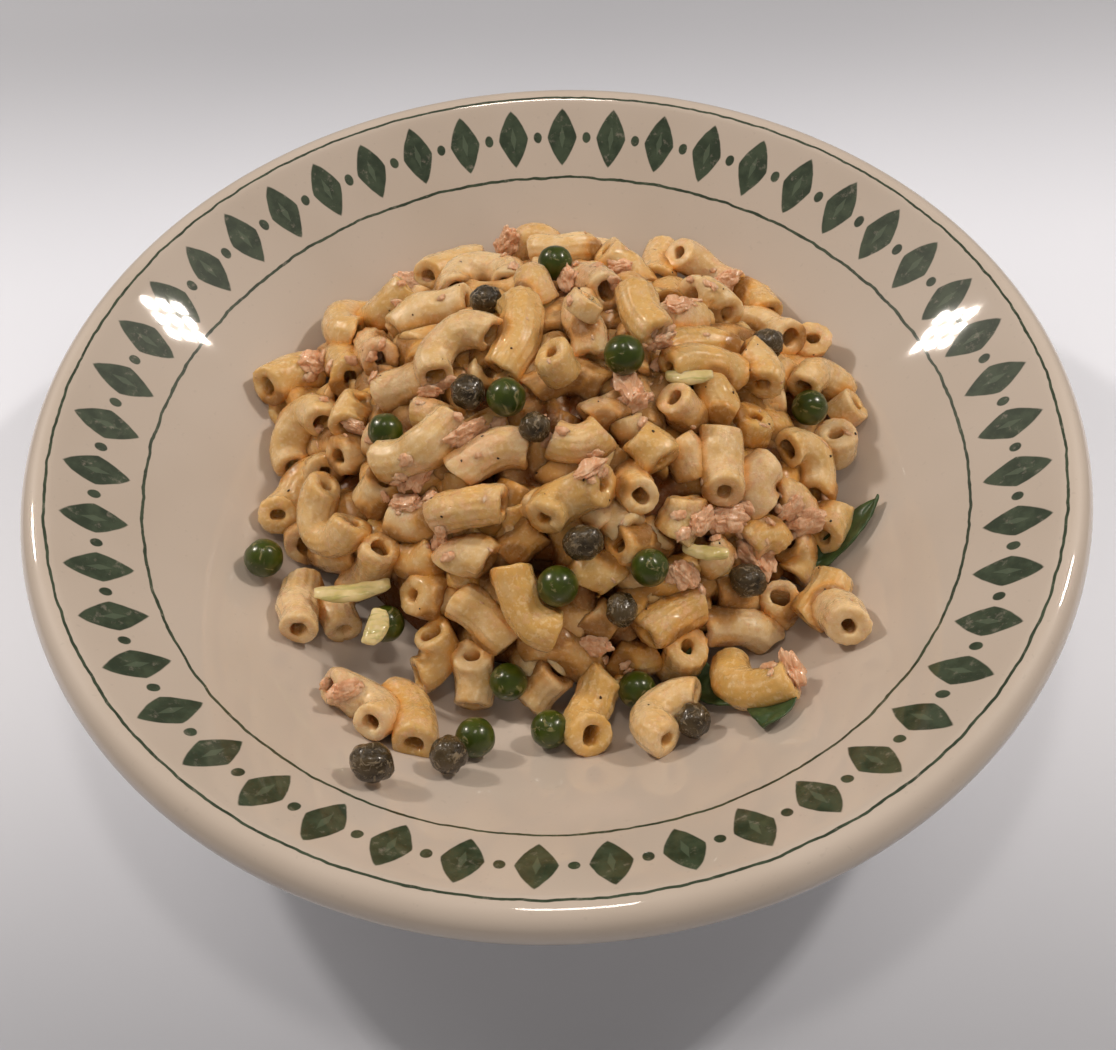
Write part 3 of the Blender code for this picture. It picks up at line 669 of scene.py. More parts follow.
def sumMoves(moves, place):
    # shift and twist of each macaroni from the pushes on its balls, and how many there are
    count = len(place)
    total, torque, touches = np.zeros((count, 3)), np.zeros((count, 3)), np.zeros(count)
    for who, where, push, live in moves:
        who, where, push = who[live], where[live], push[live]
        lever = np.cross(where - place[who], push)
        touches += np.bincount(who, minlength=count)
        for axis in range(3):
            total[:, axis] += np.bincount(who, push[:, axis], count)
            torque[:, axis] += np.bincount(who, lever[:, axis], count)
    return total, torque, touches


def towardsPhoto(drift, sight):
    # back across the line of sight at once, but along it only beyond a free slide
    lengthwise = (drift * sight).sum(axis=1, keepdims=True) * sight
    beyond = np.maximum(0.0, np.linalg.norm(lengthwise, axis=1, keepdims=True) - settling["slide"])
    return (drift - lengthwise) * settling["hold"] + unit(lengthwise) * beyond * settling["pullBack"]


def settle(spines, shown, radii, toppings):
    # move stiff chains of balls until none run into each other, the core, the bowl or the toppings
    count, balls = len(spines), settling["balls"]
    chains = np.array([ballsOf(spine) for spine in spines])
    middles = chains.mean(axis=1)
    rest = chains - middles[:, None]
    spread = (rest ** 2).sum(axis=2).mean(axis=1)
    place, turn = middles.copy(), np.tile(np.eye(3), (count, 1, 1))
    owner = np.repeat(np.arange(count), balls)
    reach = np.repeat(radii, balls)
    sight = unit(middles - eye)
    ease = np.where(shown, settling["give"], 1.0)
    for step in range(settling["steps"]):
        points = (rest @ turn.transpose(0, 2, 1) + place[:, None]).reshape(-1, 3)
        if step % settling["refresh"] == 0:
            first, second = nearPairs(points, owner, reach)
        moves = pairMoves(points, owner, reach, ease, first, second)
        for push in (pushFromToppings(points, reach, toppings), pushFromBowl(points, reach),
                     pushFromCore(points, reach)):
            moves.append((owner, points, push, np.abs(push).sum(axis=1) > 0))
        total, torque, touches = sumMoves(moves, place)
        calm = 1.0 / (touches + settling["calm"])
        shift = total * calm[:, None] * settling["push"]
        twist = torque * calm[:, None] / (spread[:, None] + settling["inertia"]) * settling["twist"]
        shift += np.where(shown[:, None], towardsPhoto(middles - place, sight), 0.0)
        lean = np.stack([turn[:, 1, 2] - turn[:, 2, 1], turn[:, 2, 0] - turn[:, 0, 2],
                         turn[:, 0, 1] - turn[:, 1, 0]], axis=1) * 0.5
        twist += lean * np.where(shown, *settling["upright"])[:, None]
        shift[:, 2] -= settling["fall"]
        place += np.clip(shift, -settling["largestShift"], settling["largestShift"])
        turn = turnBy(np.clip(twist, -settling["largestTurn"], settling["largestTurn"])) @ turn
    settled = [(spines[row] - middles[row]) @ turn[row].T + place[row] for row in range(count)]
    return settled, rest @ turn.transpose(0, 2, 1) + place[:, None]


def deepest(points, others, reach):
    gap = np.linalg.norm(points[:, None] - others[None], axis=2)
    return (reach - gap).max()


def lowInBowl(balls, margin):
    return (balls[:, 2] < wallHeight(np.hypot(balls[:, 0], balls[:, 1])) + margin).any()


def layHeap():
    # spine, radius and whether it is in the photograph, which is None for those that lie deep
    draw = np.random.default_rng(macaroni["seed"])
    radius = macaroni["radius"]
    toppings = toppingBalls()
    nearTopping = radius + settling["topping"]
    spines = shownSpines()
    shown = [True] * len(spines)
    known = np.concatenate([ballsOf(spine) for spine in spines])
    for lift, count, turn, room in filled:
        for x, y in spreadPlaces(count, turn):
            spine = laidSpine(draw, x, y, lift)
            balls = ballsOf(spine)
            if (deepest(balls, known, 2 * radius) > room
                    or deepest(balls, toppings[:, :3], nearTopping) > settling["toppingRoom"]):
                continue
            spines.append(spine)
            shown.append(False)
            known = np.concatenate([known, balls])
    radii = radius * (1 + macaroni["uneven"] * draw.uniform(-1, 1, len(spines)))
    shown = np.array(shown)
    settled, points = settle(spines, shown, radii, toppings)
    kept = []
    for row, spine in enumerate(settled):
        others = np.delete(points, row, axis=0).reshape(-1, 3)
        crowded = deepest(points[row], others, 2 * radius) > settling["crowded"]
        if shown[row] or not (crowded or lowInBowl(points[row], settling["overBowl"])):
            kept.append((spine, radii[row], shown[row]))
    for x, y in spreadPlaces(deepFill["count"], deepFill["turn"]):
        spine = laidSpine(draw, x, y, deepFill["lift"])
        balls = ballsOf(spine)
        crowded = deepest(balls, toppings[:, :3], nearTopping) >= deepFill["room"]
        if not (crowded or lowInBowl(balls, radius)):
            kept.append((spine, radius, None))
    print("macaroni laid:", int(shown.sum()), "shown,", len(kept), "in all")
    return kept


heapMacaroni = layHeap()


def ringPlan(length, radius, bore, segments):
    # places along the macaroni and radii, outside from end to end, over the lip and back inside
    lip, inward, start, wall = macaroni["lip"], macaroni["inward"], macaroni["lipStart"], radius - bore
    outer = [(at, radius, 0.0, 1.0) for at in np.linspace(start, length - start, segments + 1)]
    farLip = [(length - inset, radius - wall * share, 0.0, ridge) for inset, share, ridge in lip]
    backAgain = (*(length - inset for inset in inward), length / 2, *inward[::-1])
    inner = [(at, bore, 1.0, 0.0) for at in backAgain]
    nearLip = [(inset, radius - wall * share, 0.0, ridge) for inset, share, ridge in lip[::-1]]
    return np.array(outer + farLip + inner + nearLip)


def waves(draw, count, slowest, quickest):
    # a few sine waves along a macaroni, added up
    terms = [(draw.uniform(slowest, quickest), draw.uniform(0, 6.3), draw.uniform(0.5, 1.0))
             for _ in range(count)]
    return lambda at: sum(size * np.sin(at * rate + phase) for rate, phase, size in terms) / count


def tubeForm(draw, length, radius, sides, segments):
    # how far each point lies along and out from the middle line, and whether it is in the bore
    plan = ringPlan(length, radius, macaroni["bore"] * draw.uniform(*macaroni["boreShares"]), segments)
    angles = np.arange(sides) * 2 * math.pi / sides
    at, rho, inner, ridge = (np.tile(plan[:, [column]], (1, sides)) for column in range(4))
    cut = draw.uniform(-macaroni["slant"], macaroni["slant"], 2)       # the knife's slant at each end
    slant = draw.uniform(0, 2 * math.pi, 2)
    at = at + cut[0] * rho * np.cos(angles - slant[0]) * np.exp(-at / macaroni["cutReach"])
    at = at + cut[1] * rho * np.cos(angles - slant[1]) * np.exp(-(length - at) / macaroni["cutReach"])
    ragged, fray = waves(draw, 3, 1.0, 4.0)(angles)[None, :] * macaroni["raggedEnd"], macaroni["frayReach"]
    at = at + ragged * (np.exp(-at / fray) - np.exp(-(length - at) / fray))
    swell, flat, squashed = (waves(draw, 3, 0.12, 0.62) for _ in range(3))
    oval, threeSided = np.cos(2 * (angles - slant[0])), np.cos(3 * (angles - slant[1]))
    rho = rho * (1 + macaroni["swell"] * swell(at) + macaroni["flat"] * flat(at) * oval)
    rho = rho * (1 + macaroni["threeSided"] * squashed(at) * threeSided)
    ridges = draw.uniform(*macaroni["ridges"]) * ridge * (0.7 + 0.6 * flat(at * 2))
    rho = rho * (1 + inner * macaroni["flatBore"] * np.cos(2 * (angles - slant[1])))
    return at, rho + ridges * np.cos(sides // 4 * angles), inner.ravel()


def swayingLine(draw, spine, own, at, sides):
    # the place on the middle line that each point belongs to, and its way outwards
    safe = np.clip(at, 0, own[-1])
    middle = np.stack([np.interp(safe, own, spine[:, axis]) for axis in range(3)], axis=2)
    heading = unit(np.gradient(spine, axis=0))
    ahead = unit(np.stack([np.interp(safe, own, heading[:, axis]) for axis in range(3)], axis=2))
    middle = middle + ahead * (at - safe)[:, :, None]
    bend = np.cross(heading[0], heading[-1])
    if np.linalg.norm(bend) < 0.05:
        bend = np.cross(heading[0], [0.3, 0.2, 1.0])
    side = unit(np.cross(ahead, unit(bend)))
    lift = np.cross(side, ahead)
    kink, sway = waves(draw, 2, 0.25, 0.6), waves(draw, 2, 0.25, 0.6)
    middle = middle + macaroni["kink"] * (kink(at)[:, :, None] * side + sway(at)[:, :, None] * lift)
    angles = np.arange(sides) * 2 * math.pi / sides
    return middle, side * np.cos(angles)[None, :, None] + lift * np.sin(angles)[None, :, None]


def macaroniSkin(draw, spine, radius, sides, segments, beside):
    own = np.concatenate([[0], np.cumsum(np.linalg.norm(np.diff(spine, axis=0), axis=1))])
    at, rho, inner = tubeForm(draw, own[-1], radius, sides, segments)
    middle, outward = swayingLine(draw, spine, own, at, sides)
    points, outward = (middle + outward * rho[:, :, None]).reshape(-1, 3), outward.reshape(-1, 3)
    outside, thin = 1 - inner, macaroni["coatInside"]
    coat = (lumps(points, macaroni["coatSize"], 2.0) * macaroni["coat"]
            + lumps(points, macaroni["fineSize"], 5.0) * macaroni["fineCoat"])
    points = points + outward * (coat * (thin + (1 - thin) * outside))[:, None]
    creaseShade = 0.0
    if len(beside):
        # where a neighbour is close, the dressing between the two draws the skin towards it
        gap = (np.linalg.norm(points[:, None] - beside[None, :, :3], axis=2) - beside[:, 3]).min(axis=1)
        drawn = np.clip(macaroni["web"] - gap, 0, macaroni["web"]) * macaroni["webShare"] * outside
        points = points + outward * drawn[:, None]
        # painted shade: the skin darkens where a neighbour lies close, as in the shadow of a gap
        creaseShade = macaroni["creaseShadeShare"] * np.clip(1 - gap / macaroni["creaseShade"], 0, 1) ** 1.5
    height = points[:, 2] - restHeight(points[:, 0], points[:, 1])
    # painted shade: darker the deeper a piece lies in the heap, or the painted shade of the gap where that is
    # darker
    deepShadeShare = np.maximum(np.clip((macaroni["deepShadeFrom"] - height) / macaroni["deepShadeReach"], 0, 1), creaseShade)
    endShare = np.exp(-np.minimum(at, own[-1] - at) / 3.0).ravel()
    toSalmon = np.linalg.norm(points[:, None] - salmonSpots[None, :, :3], axis=2) / salmonSpots[:, 3]
    pink = (macaroni["pink"] * draw.uniform()
            + np.exp(-(toSalmon.min(axis=1) / macaroni["pinkReach"]) ** 2))
    # tones: the piece's own tone, salmon pink, painted shade in the bore (less near the ends) and painted shade
    # of gaps and depth
    tones = np.stack([np.full(len(points), draw.uniform() ** 0.8), np.clip(pink, 0, 1),
                      inner * (1 - 0.75 * endShare), deepShadeShare], axis=1)
    return points, tones, len(at)


pasta = {       # colours, each with the share it takes where it lies
    "each": (rgb(0.61, 0.360, 0.100), rgb(0.71, 0.480, 0.225)),
    "cloud": rgb(0.64, 0.345, 0.085), "cloudShare": 0.4,
    "cream": rgb(0.77, 0.58, 0.335), "creamShare": (0.30, 0.70),
    "patch": rgb(0.74, 0.43, 0.24), "patchShare": 0.7,           # pink from the salmon
    # painted shade inside the bore
    "inside": rgb(0.55, 0.26, 0.045), "boreShadeShare": 0.85,
    # painted shade of the gaps, and the darker painted shade deep in the heap
    "creaseShade": rgb(0.58, 0.25, 0.040), "creaseShadeShare": 0.70,
    "deep": rgb(0.09, 0.020, 0.002), "deepShadeShare": 0.94,
    "beadGlint": rgb(0.84, 0.68, 0.44), "beadGlintShare": 0.34,            # small drops of dressing, their pale colour partly a painted highlight
    "rough": (0.26, 0.46), "lightReach": 2.4,                    # how far light goes into it
}


def pastaMaterial():
    made, tree, shader = newMaterial(
        "cookedPasta", Roughness=0.34, IOR=1.42, Subsurface_Weight=1.0, Coat_Roughness=0.06,
        Subsurface_Scale=pasta["lightReach"] * mm, Subsurface_Radius=(1.0, 0.62, 0.30), Specular_IOR_Level=0.42)
    shader.subsurface_method = "BURLEY"
    tone = add(tree, "Attribute", attribute_name="tone")
    # the tone's blue is painted shade in the bore, and its alpha is painted shade in gaps and deep down
    each, pinkness, inside = add(tree, "SeparateColor", {0: tone.outputs["Color"]}).outputs[:3]
    deep = tone.outputs["Alpha"]
    colour = blendColour(tree, each, *pasta["each"])
    cloud = span(tree, grain(tree, 5.5, 3), 0.34, 0.70)
    colour = layOver(tree, colour, cloud, pasta["cloudShare"], pasta["cloud"])
    cream = span(tree, plus(tree, grain(tree, 4.2, 5, 0.62), times(tree, each, 0.14)), 0.49, 0.70)
    colour = layOver(tree, colour, cream, span(tree, each, 0.0, 1.0, *pasta["creamShare"]), pasta["cream"])
    patch = span(tree, plus(tree, grain(tree, 2.6, 6, 0.72), times(tree, pinkness, 0.30)), 0.60, 0.80)
    colour = layOver(tree, colour, patch, pasta["patchShare"], pasta["patch"])
    # painted shade inside the bore
    colour = layOver(tree, colour, inside, pasta["boreShadeShare"], pasta["inside"])
    # painted shade in the gaps, then darker painted shade deep in the heap
    creaseShade = span(tree, deep, 0.02, 0.60, 0.0, pasta["creaseShadeShare"])
    colour = blendColour(tree, creaseShade, colour, pasta["creaseShade"])
    deepShadow = span(tree, deep, 0.42, 1.0, 0.0, pasta["deepShadeShare"])
    colour = blendColour(tree, deepShadow, colour, pasta["deep"])
    # small drops of dressing, lightened as painted highlights, and fewer in the painted shade
    beadGlints = span(tree, grain(tree, 0.95, 2, 0.5), 0.52, 0.66)
    beadGlintShare = minus(tree, pasta["beadGlintShare"], times(tree, deep, 0.3))
    colour = layOver(tree, colour, beadGlints, beadGlintShare, pasta["beadGlint"])
    soft = bump(tree, grain(tree, 2.2, 3, 0.55), 0.30, 0.55)
    flaked = bump(tree, times(tree, patch, grain(tree, 0.6, 3, 0.6)), 0.30, 0.7, soft)
    wet = bump(tree, beadGlints, 0.34, 1.0, bump(tree, grain(tree, 1.5, 3, 0.55), 0.38, 0.9, flaked))
    # the coat fades where the painted shade is deep, so the painted shade shows no reflection
    link(tree, shader, Base_Color=colour, Normal=flaked, Coat_Normal=wet,
         Coat_Weight=minus(tree, 1.0, times(tree, deep, 0.9)),
         Roughness=span(tree, grain(tree, 1.6, 3), 0.35, 0.7, *pasta["rough"]))
    return made


def pieceOf(spine, isShown):
    # which piece a macaroni is in, and its sides and segments
    x, y, z = spine.mean(axis=0)
    if isShown is None:
        return "macaroni_under", *fineness["under"]
    if isShown:
        return "macaroni_front" if y < 0 else "macaroni_back", *fineness["shown"]
    if z > float(restHeight(x, y)) + fineness["liftedOver"]:
        return "macaroni_back", *fineness["lifted"]
    return "macaroni_inner", *fineness["inner"]


def spinesBeside(spine):
    # points of the middle lines near this one, each with its radius
    middle, reach = spine.mean(axis=0), fineness["besideReach"]
    near = [np.column_stack([other, np.full(len(other), radius)]) for other, radius, _ in heapMacaroni
            if other is not spine and np.linalg.norm(other.mean(axis=0) - middle) < reach]
    return np.concatenate(near) if near else []


def makeMacaroni():
    draw = np.random.default_rng(macaroni["seed"] + 1)
    material = pastaMaterial()
    groups = {"macaroni_front": [], "macaroni_back": [], "macaroni_inner": [], "macaroni_under": []}
    for spine, radius, isShown in heapMacaroni:
        name, sides, segments = pieceOf(spine, isShown)
        groups[name].append((spine, radius, sides, segments))
    for name, members in groups.items():
        points, faces, tones, start = [], [], [], 0
        for spine, radius, sides, segments in members:
            beside = [] if name == "macaroni_under" else spinesBeside(spine)
            some, shade, rings = macaroniSkin(draw, spine, radius, sides, segments, beside)
            points.append(some)
            tones.append(shade)
            faces += gridFaces(rings, sides, start, closeRings=True)
            start += len(some)
        made = pieceFrom(name, np.concatenate(points), faces, material, np.concatenate(tones))
        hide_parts("macaroni_heap")
        print(name, len(members), "pieces,", 2 * len(faces), "triangles")
    return material


def makeCore(material):
    # the unseen middle of the heap, lumpy like the macaroni pressed into it, coloured wholly with the painted
    # deep shade
    rings, sides, drop = core["rings"], core["sides"], mound["coreDrop"] + core["under"]
    points = []
    for ring in range(rings):
        out = 0.004 + 0.996 * ring / (rings - 1)
        for side in range(sides):
            turn = side * 2 * math.pi / sides
            reach = (mound["toBack"] if math.sin(turn) > 0 else mound["toFront"]) - drop
            x = mound["x"] + out * (mound["halfWidth"] - drop) * math.cos(turn)
            y = mound["y"] + out * reach * math.sin(turn)
            lump = sum(noise.noise(Vector((x, y, seed)) / size) * high for seed, size, high in core["lumps"])
            points.append((x, y, max(float(moundHeight(x, y, drop)) + lump,
                                     float(wallHeight(math.hypot(x, y))) + core["overBowl"])))
    faces = gridFaces(rings, sides)
    faces.append(tuple(range(sides))[::-1])
    made = pieceFrom("heap_core", points, faces, material, [core["tone"]] * len(points))
    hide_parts("macaroni_heap")


pastaSkin = makeMacaroni()
makeCore(pastaSkin)
print("macaroni ready")


# Peas, capers, celery and leaves: each stands where its solid does
pea = {
    "dent": 0.22, "dents": 4, "dentSize": 0.12, "wrinkle": 0.10, "wrinkleSize": 0.55, "shrink": 0.012,
    "fineness": 4, "skin": (rgb(0.026, 0.044, 0.002), rgb(0.048, 0.069, 0.004)),
    "veil": rgb(0.50, 0.41, 0.18), "veilShare": 0.34, "rough": (0.30, 0.46),      # smears of dressing
}
caper = {
    "wrinkle": 0.24, "wrinkleSize": 0.42, "shrink": 0.02, "twist": 1.1, "fineness": 4,
    "fold": 0.10, "tip": 0.09, "stem": 0.13,
    "skin": (rgb(0.020, 0.013, 0.005), rgb(0.070, 0.048, 0.021)),
    "streak": rgb(0.42, 0.33, 0.21), "streakShare": 0.48, "rough": (0.26, 0.5),
}
greens = {
    "leaf": {"piece": "leaf_blade", "levels": 3, "ripple": 0.12, "rippleSize": 2.0,
             "skin": (rgb(0.020, 0.044, 0.014), rgb(0.052, 0.092, 0.030)), "vein": rgb(0.09, 0.13, 0.05)},
    "celery": {"piece": "celery_strip", "levels": 3, "ripple": 0.22, "rippleSize": 2.4,
               "skin": (rgb(0.55, 0.44, 0.17), rgb(0.74, 0.61, 0.34)), "string": rgb(0.36, 0.36, 0.10)},
}


def peaMaterial():
    made, tree, shader = newMaterial("peaSkin", Roughness=0.34, IOR=1.45, Subsurface_Weight=0.35,
                                     Subsurface_Scale=1.2 * mm, Subsurface_Radius=(0.6, 1.0, 0.25),
                                     Coat_Weight=0.5, Coat_Roughness=0.20)
    veil = span(tree, grain(tree, 3.4, 4, 0.62, twist=1.6), 0.57, 0.66)
    colour = layOver(tree, mottle(tree, 4.0, 3, 0.3, 0.7, pea["skin"]), veil, pea["veilShare"], pea["veil"])
    normal = bump(tree, grain(tree, 1.8, 3, 0.5, twist=0.6), 0.14, 0.6, bump(tree, veil, 0.16, 0.7))
    link(tree, shader, Base_Color=colour, Normal=normal, Roughness=span(tree, veil, 0.0, 1.0, *pea["rough"]))
    return made


def caperMaterial():
    made, tree, shader = newMaterial("caperSkin", Roughness=0.34, IOR=1.45, Coat_Weight=0.5,
                                     Coat_Roughness=0.15, Subsurface_Weight=0.1,
                                     Subsurface_Scale=0.8 * mm, Subsurface_Radius=(1.0, 0.8, 0.4))
    streak = span(tree, grain(tree, 2.1, 5, 0.62, twist=1.8), 0.54, 0.63)
    colour = mottle(tree, 3.2, 4, 0.32, 0.66, caper["skin"])
    colour = layOver(tree, colour, streak, caper["streakShare"], caper["streak"])
    normal = bump(tree, grain(tree, 1.5, 4, 0.6, twist=1.2), 0.42, 0.8, bump(tree, streak, 0.15, 0.7))
    link(tree, shader, Base_Color=colour, Normal=normal,
         Roughness=span(tree, streak, 0.0, 1.0, *caper["rough"]))
    return made


def ballPoints(fineness):
    bm = bmesh.new()
    bmesh.ops.create_icosphere(bm, subdivisions=fineness, radius=1.0)
    points = np.array([vert.co for vert in bm.verts])
    faces = [tuple(vert.index for vert in face.verts) for face in bm.faces]
    bm.free()
    return points, faces


def nodeShape(node):
    low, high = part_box(node)
    return np.array((low + high) / 2) / mm, np.array((high - low) / 2) / mm


def makePeas():
    ball, faces = ballPoints(pea["fineness"])
    material = peaMaterial()
    for node in sorted(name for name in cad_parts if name.startswith("pea")):
        middle, half = nodeShape(node)
        seed = float(node[-2:]) * 7.3
        draw = np.random.default_rng(int(seed))
        spots = unit(draw.normal(size=(pea["dents"], 3)))
        radius = half.max() * (1 - pea["shrink"])
        dents = sum(np.exp(-((ball - spot) ** 2).sum(axis=1) / pea["dentSize"]) for spot in spots)
        grow = radius - pea["dent"] * dents + pea["wrinkle"] * lumps(ball, pea["wrinkleSize"], seed)
        points = ball * grow[:, None] + middle
        made = pieceFrom(node.replace("pea", "pea_skin"), points, faces, material)
        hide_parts(node)


def makeCapers():
    # a flower bud: petals folded over each other, meeting at the tip, with the stub of a stem
    ball, faces = ballPoints(caper["fineness"])
    material = caperMaterial()
    for node in sorted(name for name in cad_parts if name.startswith("caper")):
        middle, half = nodeShape(node)
        seed = float(node[-2:]) * 5.1
        draw = np.random.default_rng(int(seed) + 3)
        tip = unit(np.array([draw.uniform(-1, 1), draw.uniform(-1, 0.2), draw.uniform(-0.2, 0.9)]))
        side = unit(np.cross(tip, [0.2, 0.3, 1.0]))
        other = np.cross(tip, side)
        along = ball @ tip
        turn = np.arctan2(ball @ other, ball @ side) + caper["twist"] * along
        petal = np.abs(np.sin(turn * 2)) ** 0.6
        grow = 1 - caper["fold"] * (1 - petal) * (along > -0.5) * (1 - np.abs(along) ** 3)
        grow += (caper["tip"] * np.exp(-((1 - along) / 0.12) ** 2)
                 + caper["stem"] * np.exp(-((1 + along) / 0.05) ** 2))
        points = ball * grow[:, None] * half * (1 - caper["shrink"])
        points += unit(ball) * (caper["wrinkle"] * lumps(ball, caper["wrinkleSize"], seed))[:, None]
        made = pieceFrom(node.replace("caper", "caper_bud"), points + middle, faces, material)
        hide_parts(node)


def leafMaterial():
    made, tree, shader = newMaterial("leafBlade", Roughness=0.38, IOR=1.42, Subsurface_Weight=0.12,
                                     Subsurface_Scale=0.4 * mm, Subsurface_Radius=(0.5, 1.0, 0.2),
                                     Coat_Weight=0.25, Coat_Roughness=0.2)
    vein = span(tree, grain(tree, 1.4, 3, 0.6, stretch=(1.0, 0.18, 1.0)), 0.56, 0.66)
    colour = mottle(tree, 5, 4, 0.3, 0.7, greens["leaf"]["skin"])
    link(tree, shader, Base_Color=layOver(tree, colour, vein, 0.5, greens["leaf"]["vein"]),
         Normal=bump(tree, grain(tree, 1.2, 4), 0.14, 0.8))
    return made


def celeryMaterial():
    made, tree, shader = newMaterial("celeryFlesh", Roughness=0.28, IOR=1.42, Subsurface_Weight=0.5,
                                     Subsurface_Scale=1.6 * mm, Subsurface_Radius=(0.9, 1.0, 0.35),
                                     Coat_Weight=0.6, Coat_Roughness=0.12)
    string = span(tree, grain(tree, 0.9, 3, 0.6, stretch=(0.16, 1.0, 1.0)), 0.50, 0.66)
    colour = mottle(tree, 6, 3, 0.3, 0.7, greens["celery"]["skin"])
    link(tree, shader, Base_Color=layOver(tree, colour, string, 0.5, greens["celery"]["string"]),
         Normal=bump(tree, string, 0.12, 0.7))
    return made


def refinedCopy(node, name, material, relief):
    # the solid's own form, smoothed and given its fine relief
    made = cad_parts[node].copy()
    made.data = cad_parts[node].data.copy()
    made.name = name
    for key in list(made.keys()):
        del made[key]
    made.parent = None
    bpy.context.scene.collection.objects.link(made)
    bm = bmesh.new()
    bm.from_mesh(made.data)
    bmesh.ops.remove_doubles(bm, verts=bm.verts, dist=0.01 * mm)
    bm.to_mesh(made.data)
    bm.free()
    smoother = made.modifiers.new("smoother", "SUBSURF")
    smoother.levels = smoother.render_levels = relief["levels"]
    shape = bpy.data.meshes.new_from_object(made.evaluated_get(bpy.context.evaluated_depsgraph_get()))
    made.modifiers.clear()
    made.data = shape
    spots, normals = np.zeros((2, len(shape.vertices) * 3), np.float32)
    shape.vertices.foreach_get("co", spots)
    shape.vertices.foreach_get("normal", normals)
    spots, normals = spots.reshape(-1, 3), normals.reshape(-1, 3)
    swell = lumps(spots / mm, relief["rippleSize"], float(node[-2:]) * 3.7)
    shape.vertices.foreach_set("co", (spots + normals * swell[:, None] * relief["ripple"] * mm).ravel())
    shape.materials.clear()
    shape.materials.append(material)
    shape.shade_smooth()
    made.hide_render = made.hide_viewport = False
    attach(made, "root")
    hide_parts(node)


def makeGreens():
    bpy.context.view_layer.update()
    skins = {"leaf": leafMaterial(), "celery": celeryMaterial()}
    for node in sorted(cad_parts):
        kind = node.split("_")[0]
        if kind in greens:
            refinedCopy(node, node.replace(kind, greens[kind]["piece"]), skins[kind], greens[kind])


makePeas()
makeCapers()
makeGreens()
print("peas, capers and greens ready")


# Salmon, crumbs and pepper: small things on the surface of the heap
scraps = {
    "crumbs": 60, "crumbSize": (0.3, 0.6), "crumbShape": (1.8, 0.8, 0.5), "crumbSink": 0.1,
    "nearFlake": 4, "nearSpread": (17, 15), "shredSize": (0.5, 1.3), "shredShape": (1.35, 0.95, 0.55),
    "flakeShape": (0.6, 0.58, 0.36), "flakeSink": 0.25,
    "pepper": 80, "pepperSize": (0.10, 0.28), "pepperShape": (1.2, 1.0, 0.6), "pepperSink": 0.5,
    "rough": (0.48, 0.55, 0.5),                 # flakes, crumbs and pepper
    "spread": (66, 62), "dropHeight": 90.0, "startBack": 20, "overBowl": 3.0, "shredOverBowl": 2.0,
    "seed": 21,
    "salmon": (rgb(0.62, 0.320, 0.17), rgb(0.73, 0.47, 0.300)),
    "pale": rgb(0.77, 0.58, 0.40), "paleShare": 0.65,
    "pepperSkin": (rgb(0.018, 0.010, 0.005), rgb(0.075, 0.040, 0.018)),
}


def surfaceOf(names):
    points, faces, start = [], [], 0
    for name in names:
        mesh = bpy.data.objects[name].data
        spots = np.zeros(len(mesh.vertices) * 3, np.float32)
        mesh.vertices.foreach_get("co", spots)
        points.append(spots.reshape(-1, 3) / mm)
        faces += [tuple(start + corner for corner in face.vertices) for face in mesh.polygons]
        start += len(mesh.vertices)
    return BVHTree.FromPolygons(np.concatenate(points).tolist(), faces)


def salmonMaterial():
    made, tree, shader = newMaterial(
        "flakedSalmon", Roughness=0.42, IOR=1.42, Subsurface_Weight=0.45, Subsurface_Scale=1.5 * mm,
        Subsurface_Radius=(1.0, 0.45, 0.25), Coat_Weight=0.6, Coat_Roughness=0.16)
    shader.subsurface_method = "BURLEY"
    fibre = span(tree, grain(tree, 1.0, 3, 0.6, stretch=(1.0, 0.3, 1.0), twist=0.8), 0.35, 0.68)
    pale = span(tree, grain(tree, 2.6, 3), 0.55, 0.72)
    colour = blendColour(tree, fibre, *scraps["salmon"])
    link(tree, shader, Base_Color=layOver(tree, colour, pale, scraps["paleShare"], scraps["pale"]),
         Normal=bump(tree, fibre, 0.14, 0.8))
    return made


def pepperMaterial():
    made, tree, shader = newMaterial("groundPepper", Roughness=0.6)
    link(tree, shader, Base_Color=mottle(tree, 0.5, 2, 0.4, 0.6, scraps["pepperSkin"]))
    return made


def scrap(ball, draw, middle, normal, half, turn, rough, sink):
    # one uneven lump pressed into the surface it lies on
    normal = unit(np.array(normal))
    along = unit(np.array([math.cos(turn), math.sin(turn), 0.0]) + 0.001)
    along = unit(along - normal * along.dot(normal))
    across = np.cross(normal, along)
    moved = ball + draw.uniform(-40, 40, 3)
    fibres = np.abs(lumps(moved * (0.9, 1.7, 1.7), 0.7, 4.0))
    swell = lumps(moved, 0.75, 1.0) + 0.6 * fibres
    form = ball * (1 + rough * swell)[:, None] * half
    return middle + normal * half[2] * sink + form @ np.stack([along, across, normal])


def addScraps(name, ball, rows, draw, material, rough):
    points, faces = [], []
    shape, corners = ball
    for middle, normal, half, turn, sink in rows:
        start = len(points) * len(shape)
        points.append(scrap(shape, draw, middle, normal, np.array(half), turn, rough, sink))
        faces += [tuple(start + corner for corner in face) for face in corners]
    made = pieceFrom(name, np.concatenate(points), faces, material)
    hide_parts("macaroni_heap")
    print(name, len(rows))


def sized(size, shape):
    return tuple(size * share for share in shape)


def overBowl(where, margin):
    return where is not None and where.z > float(wallHeight(math.hypot(where.x, where.y))) + margin


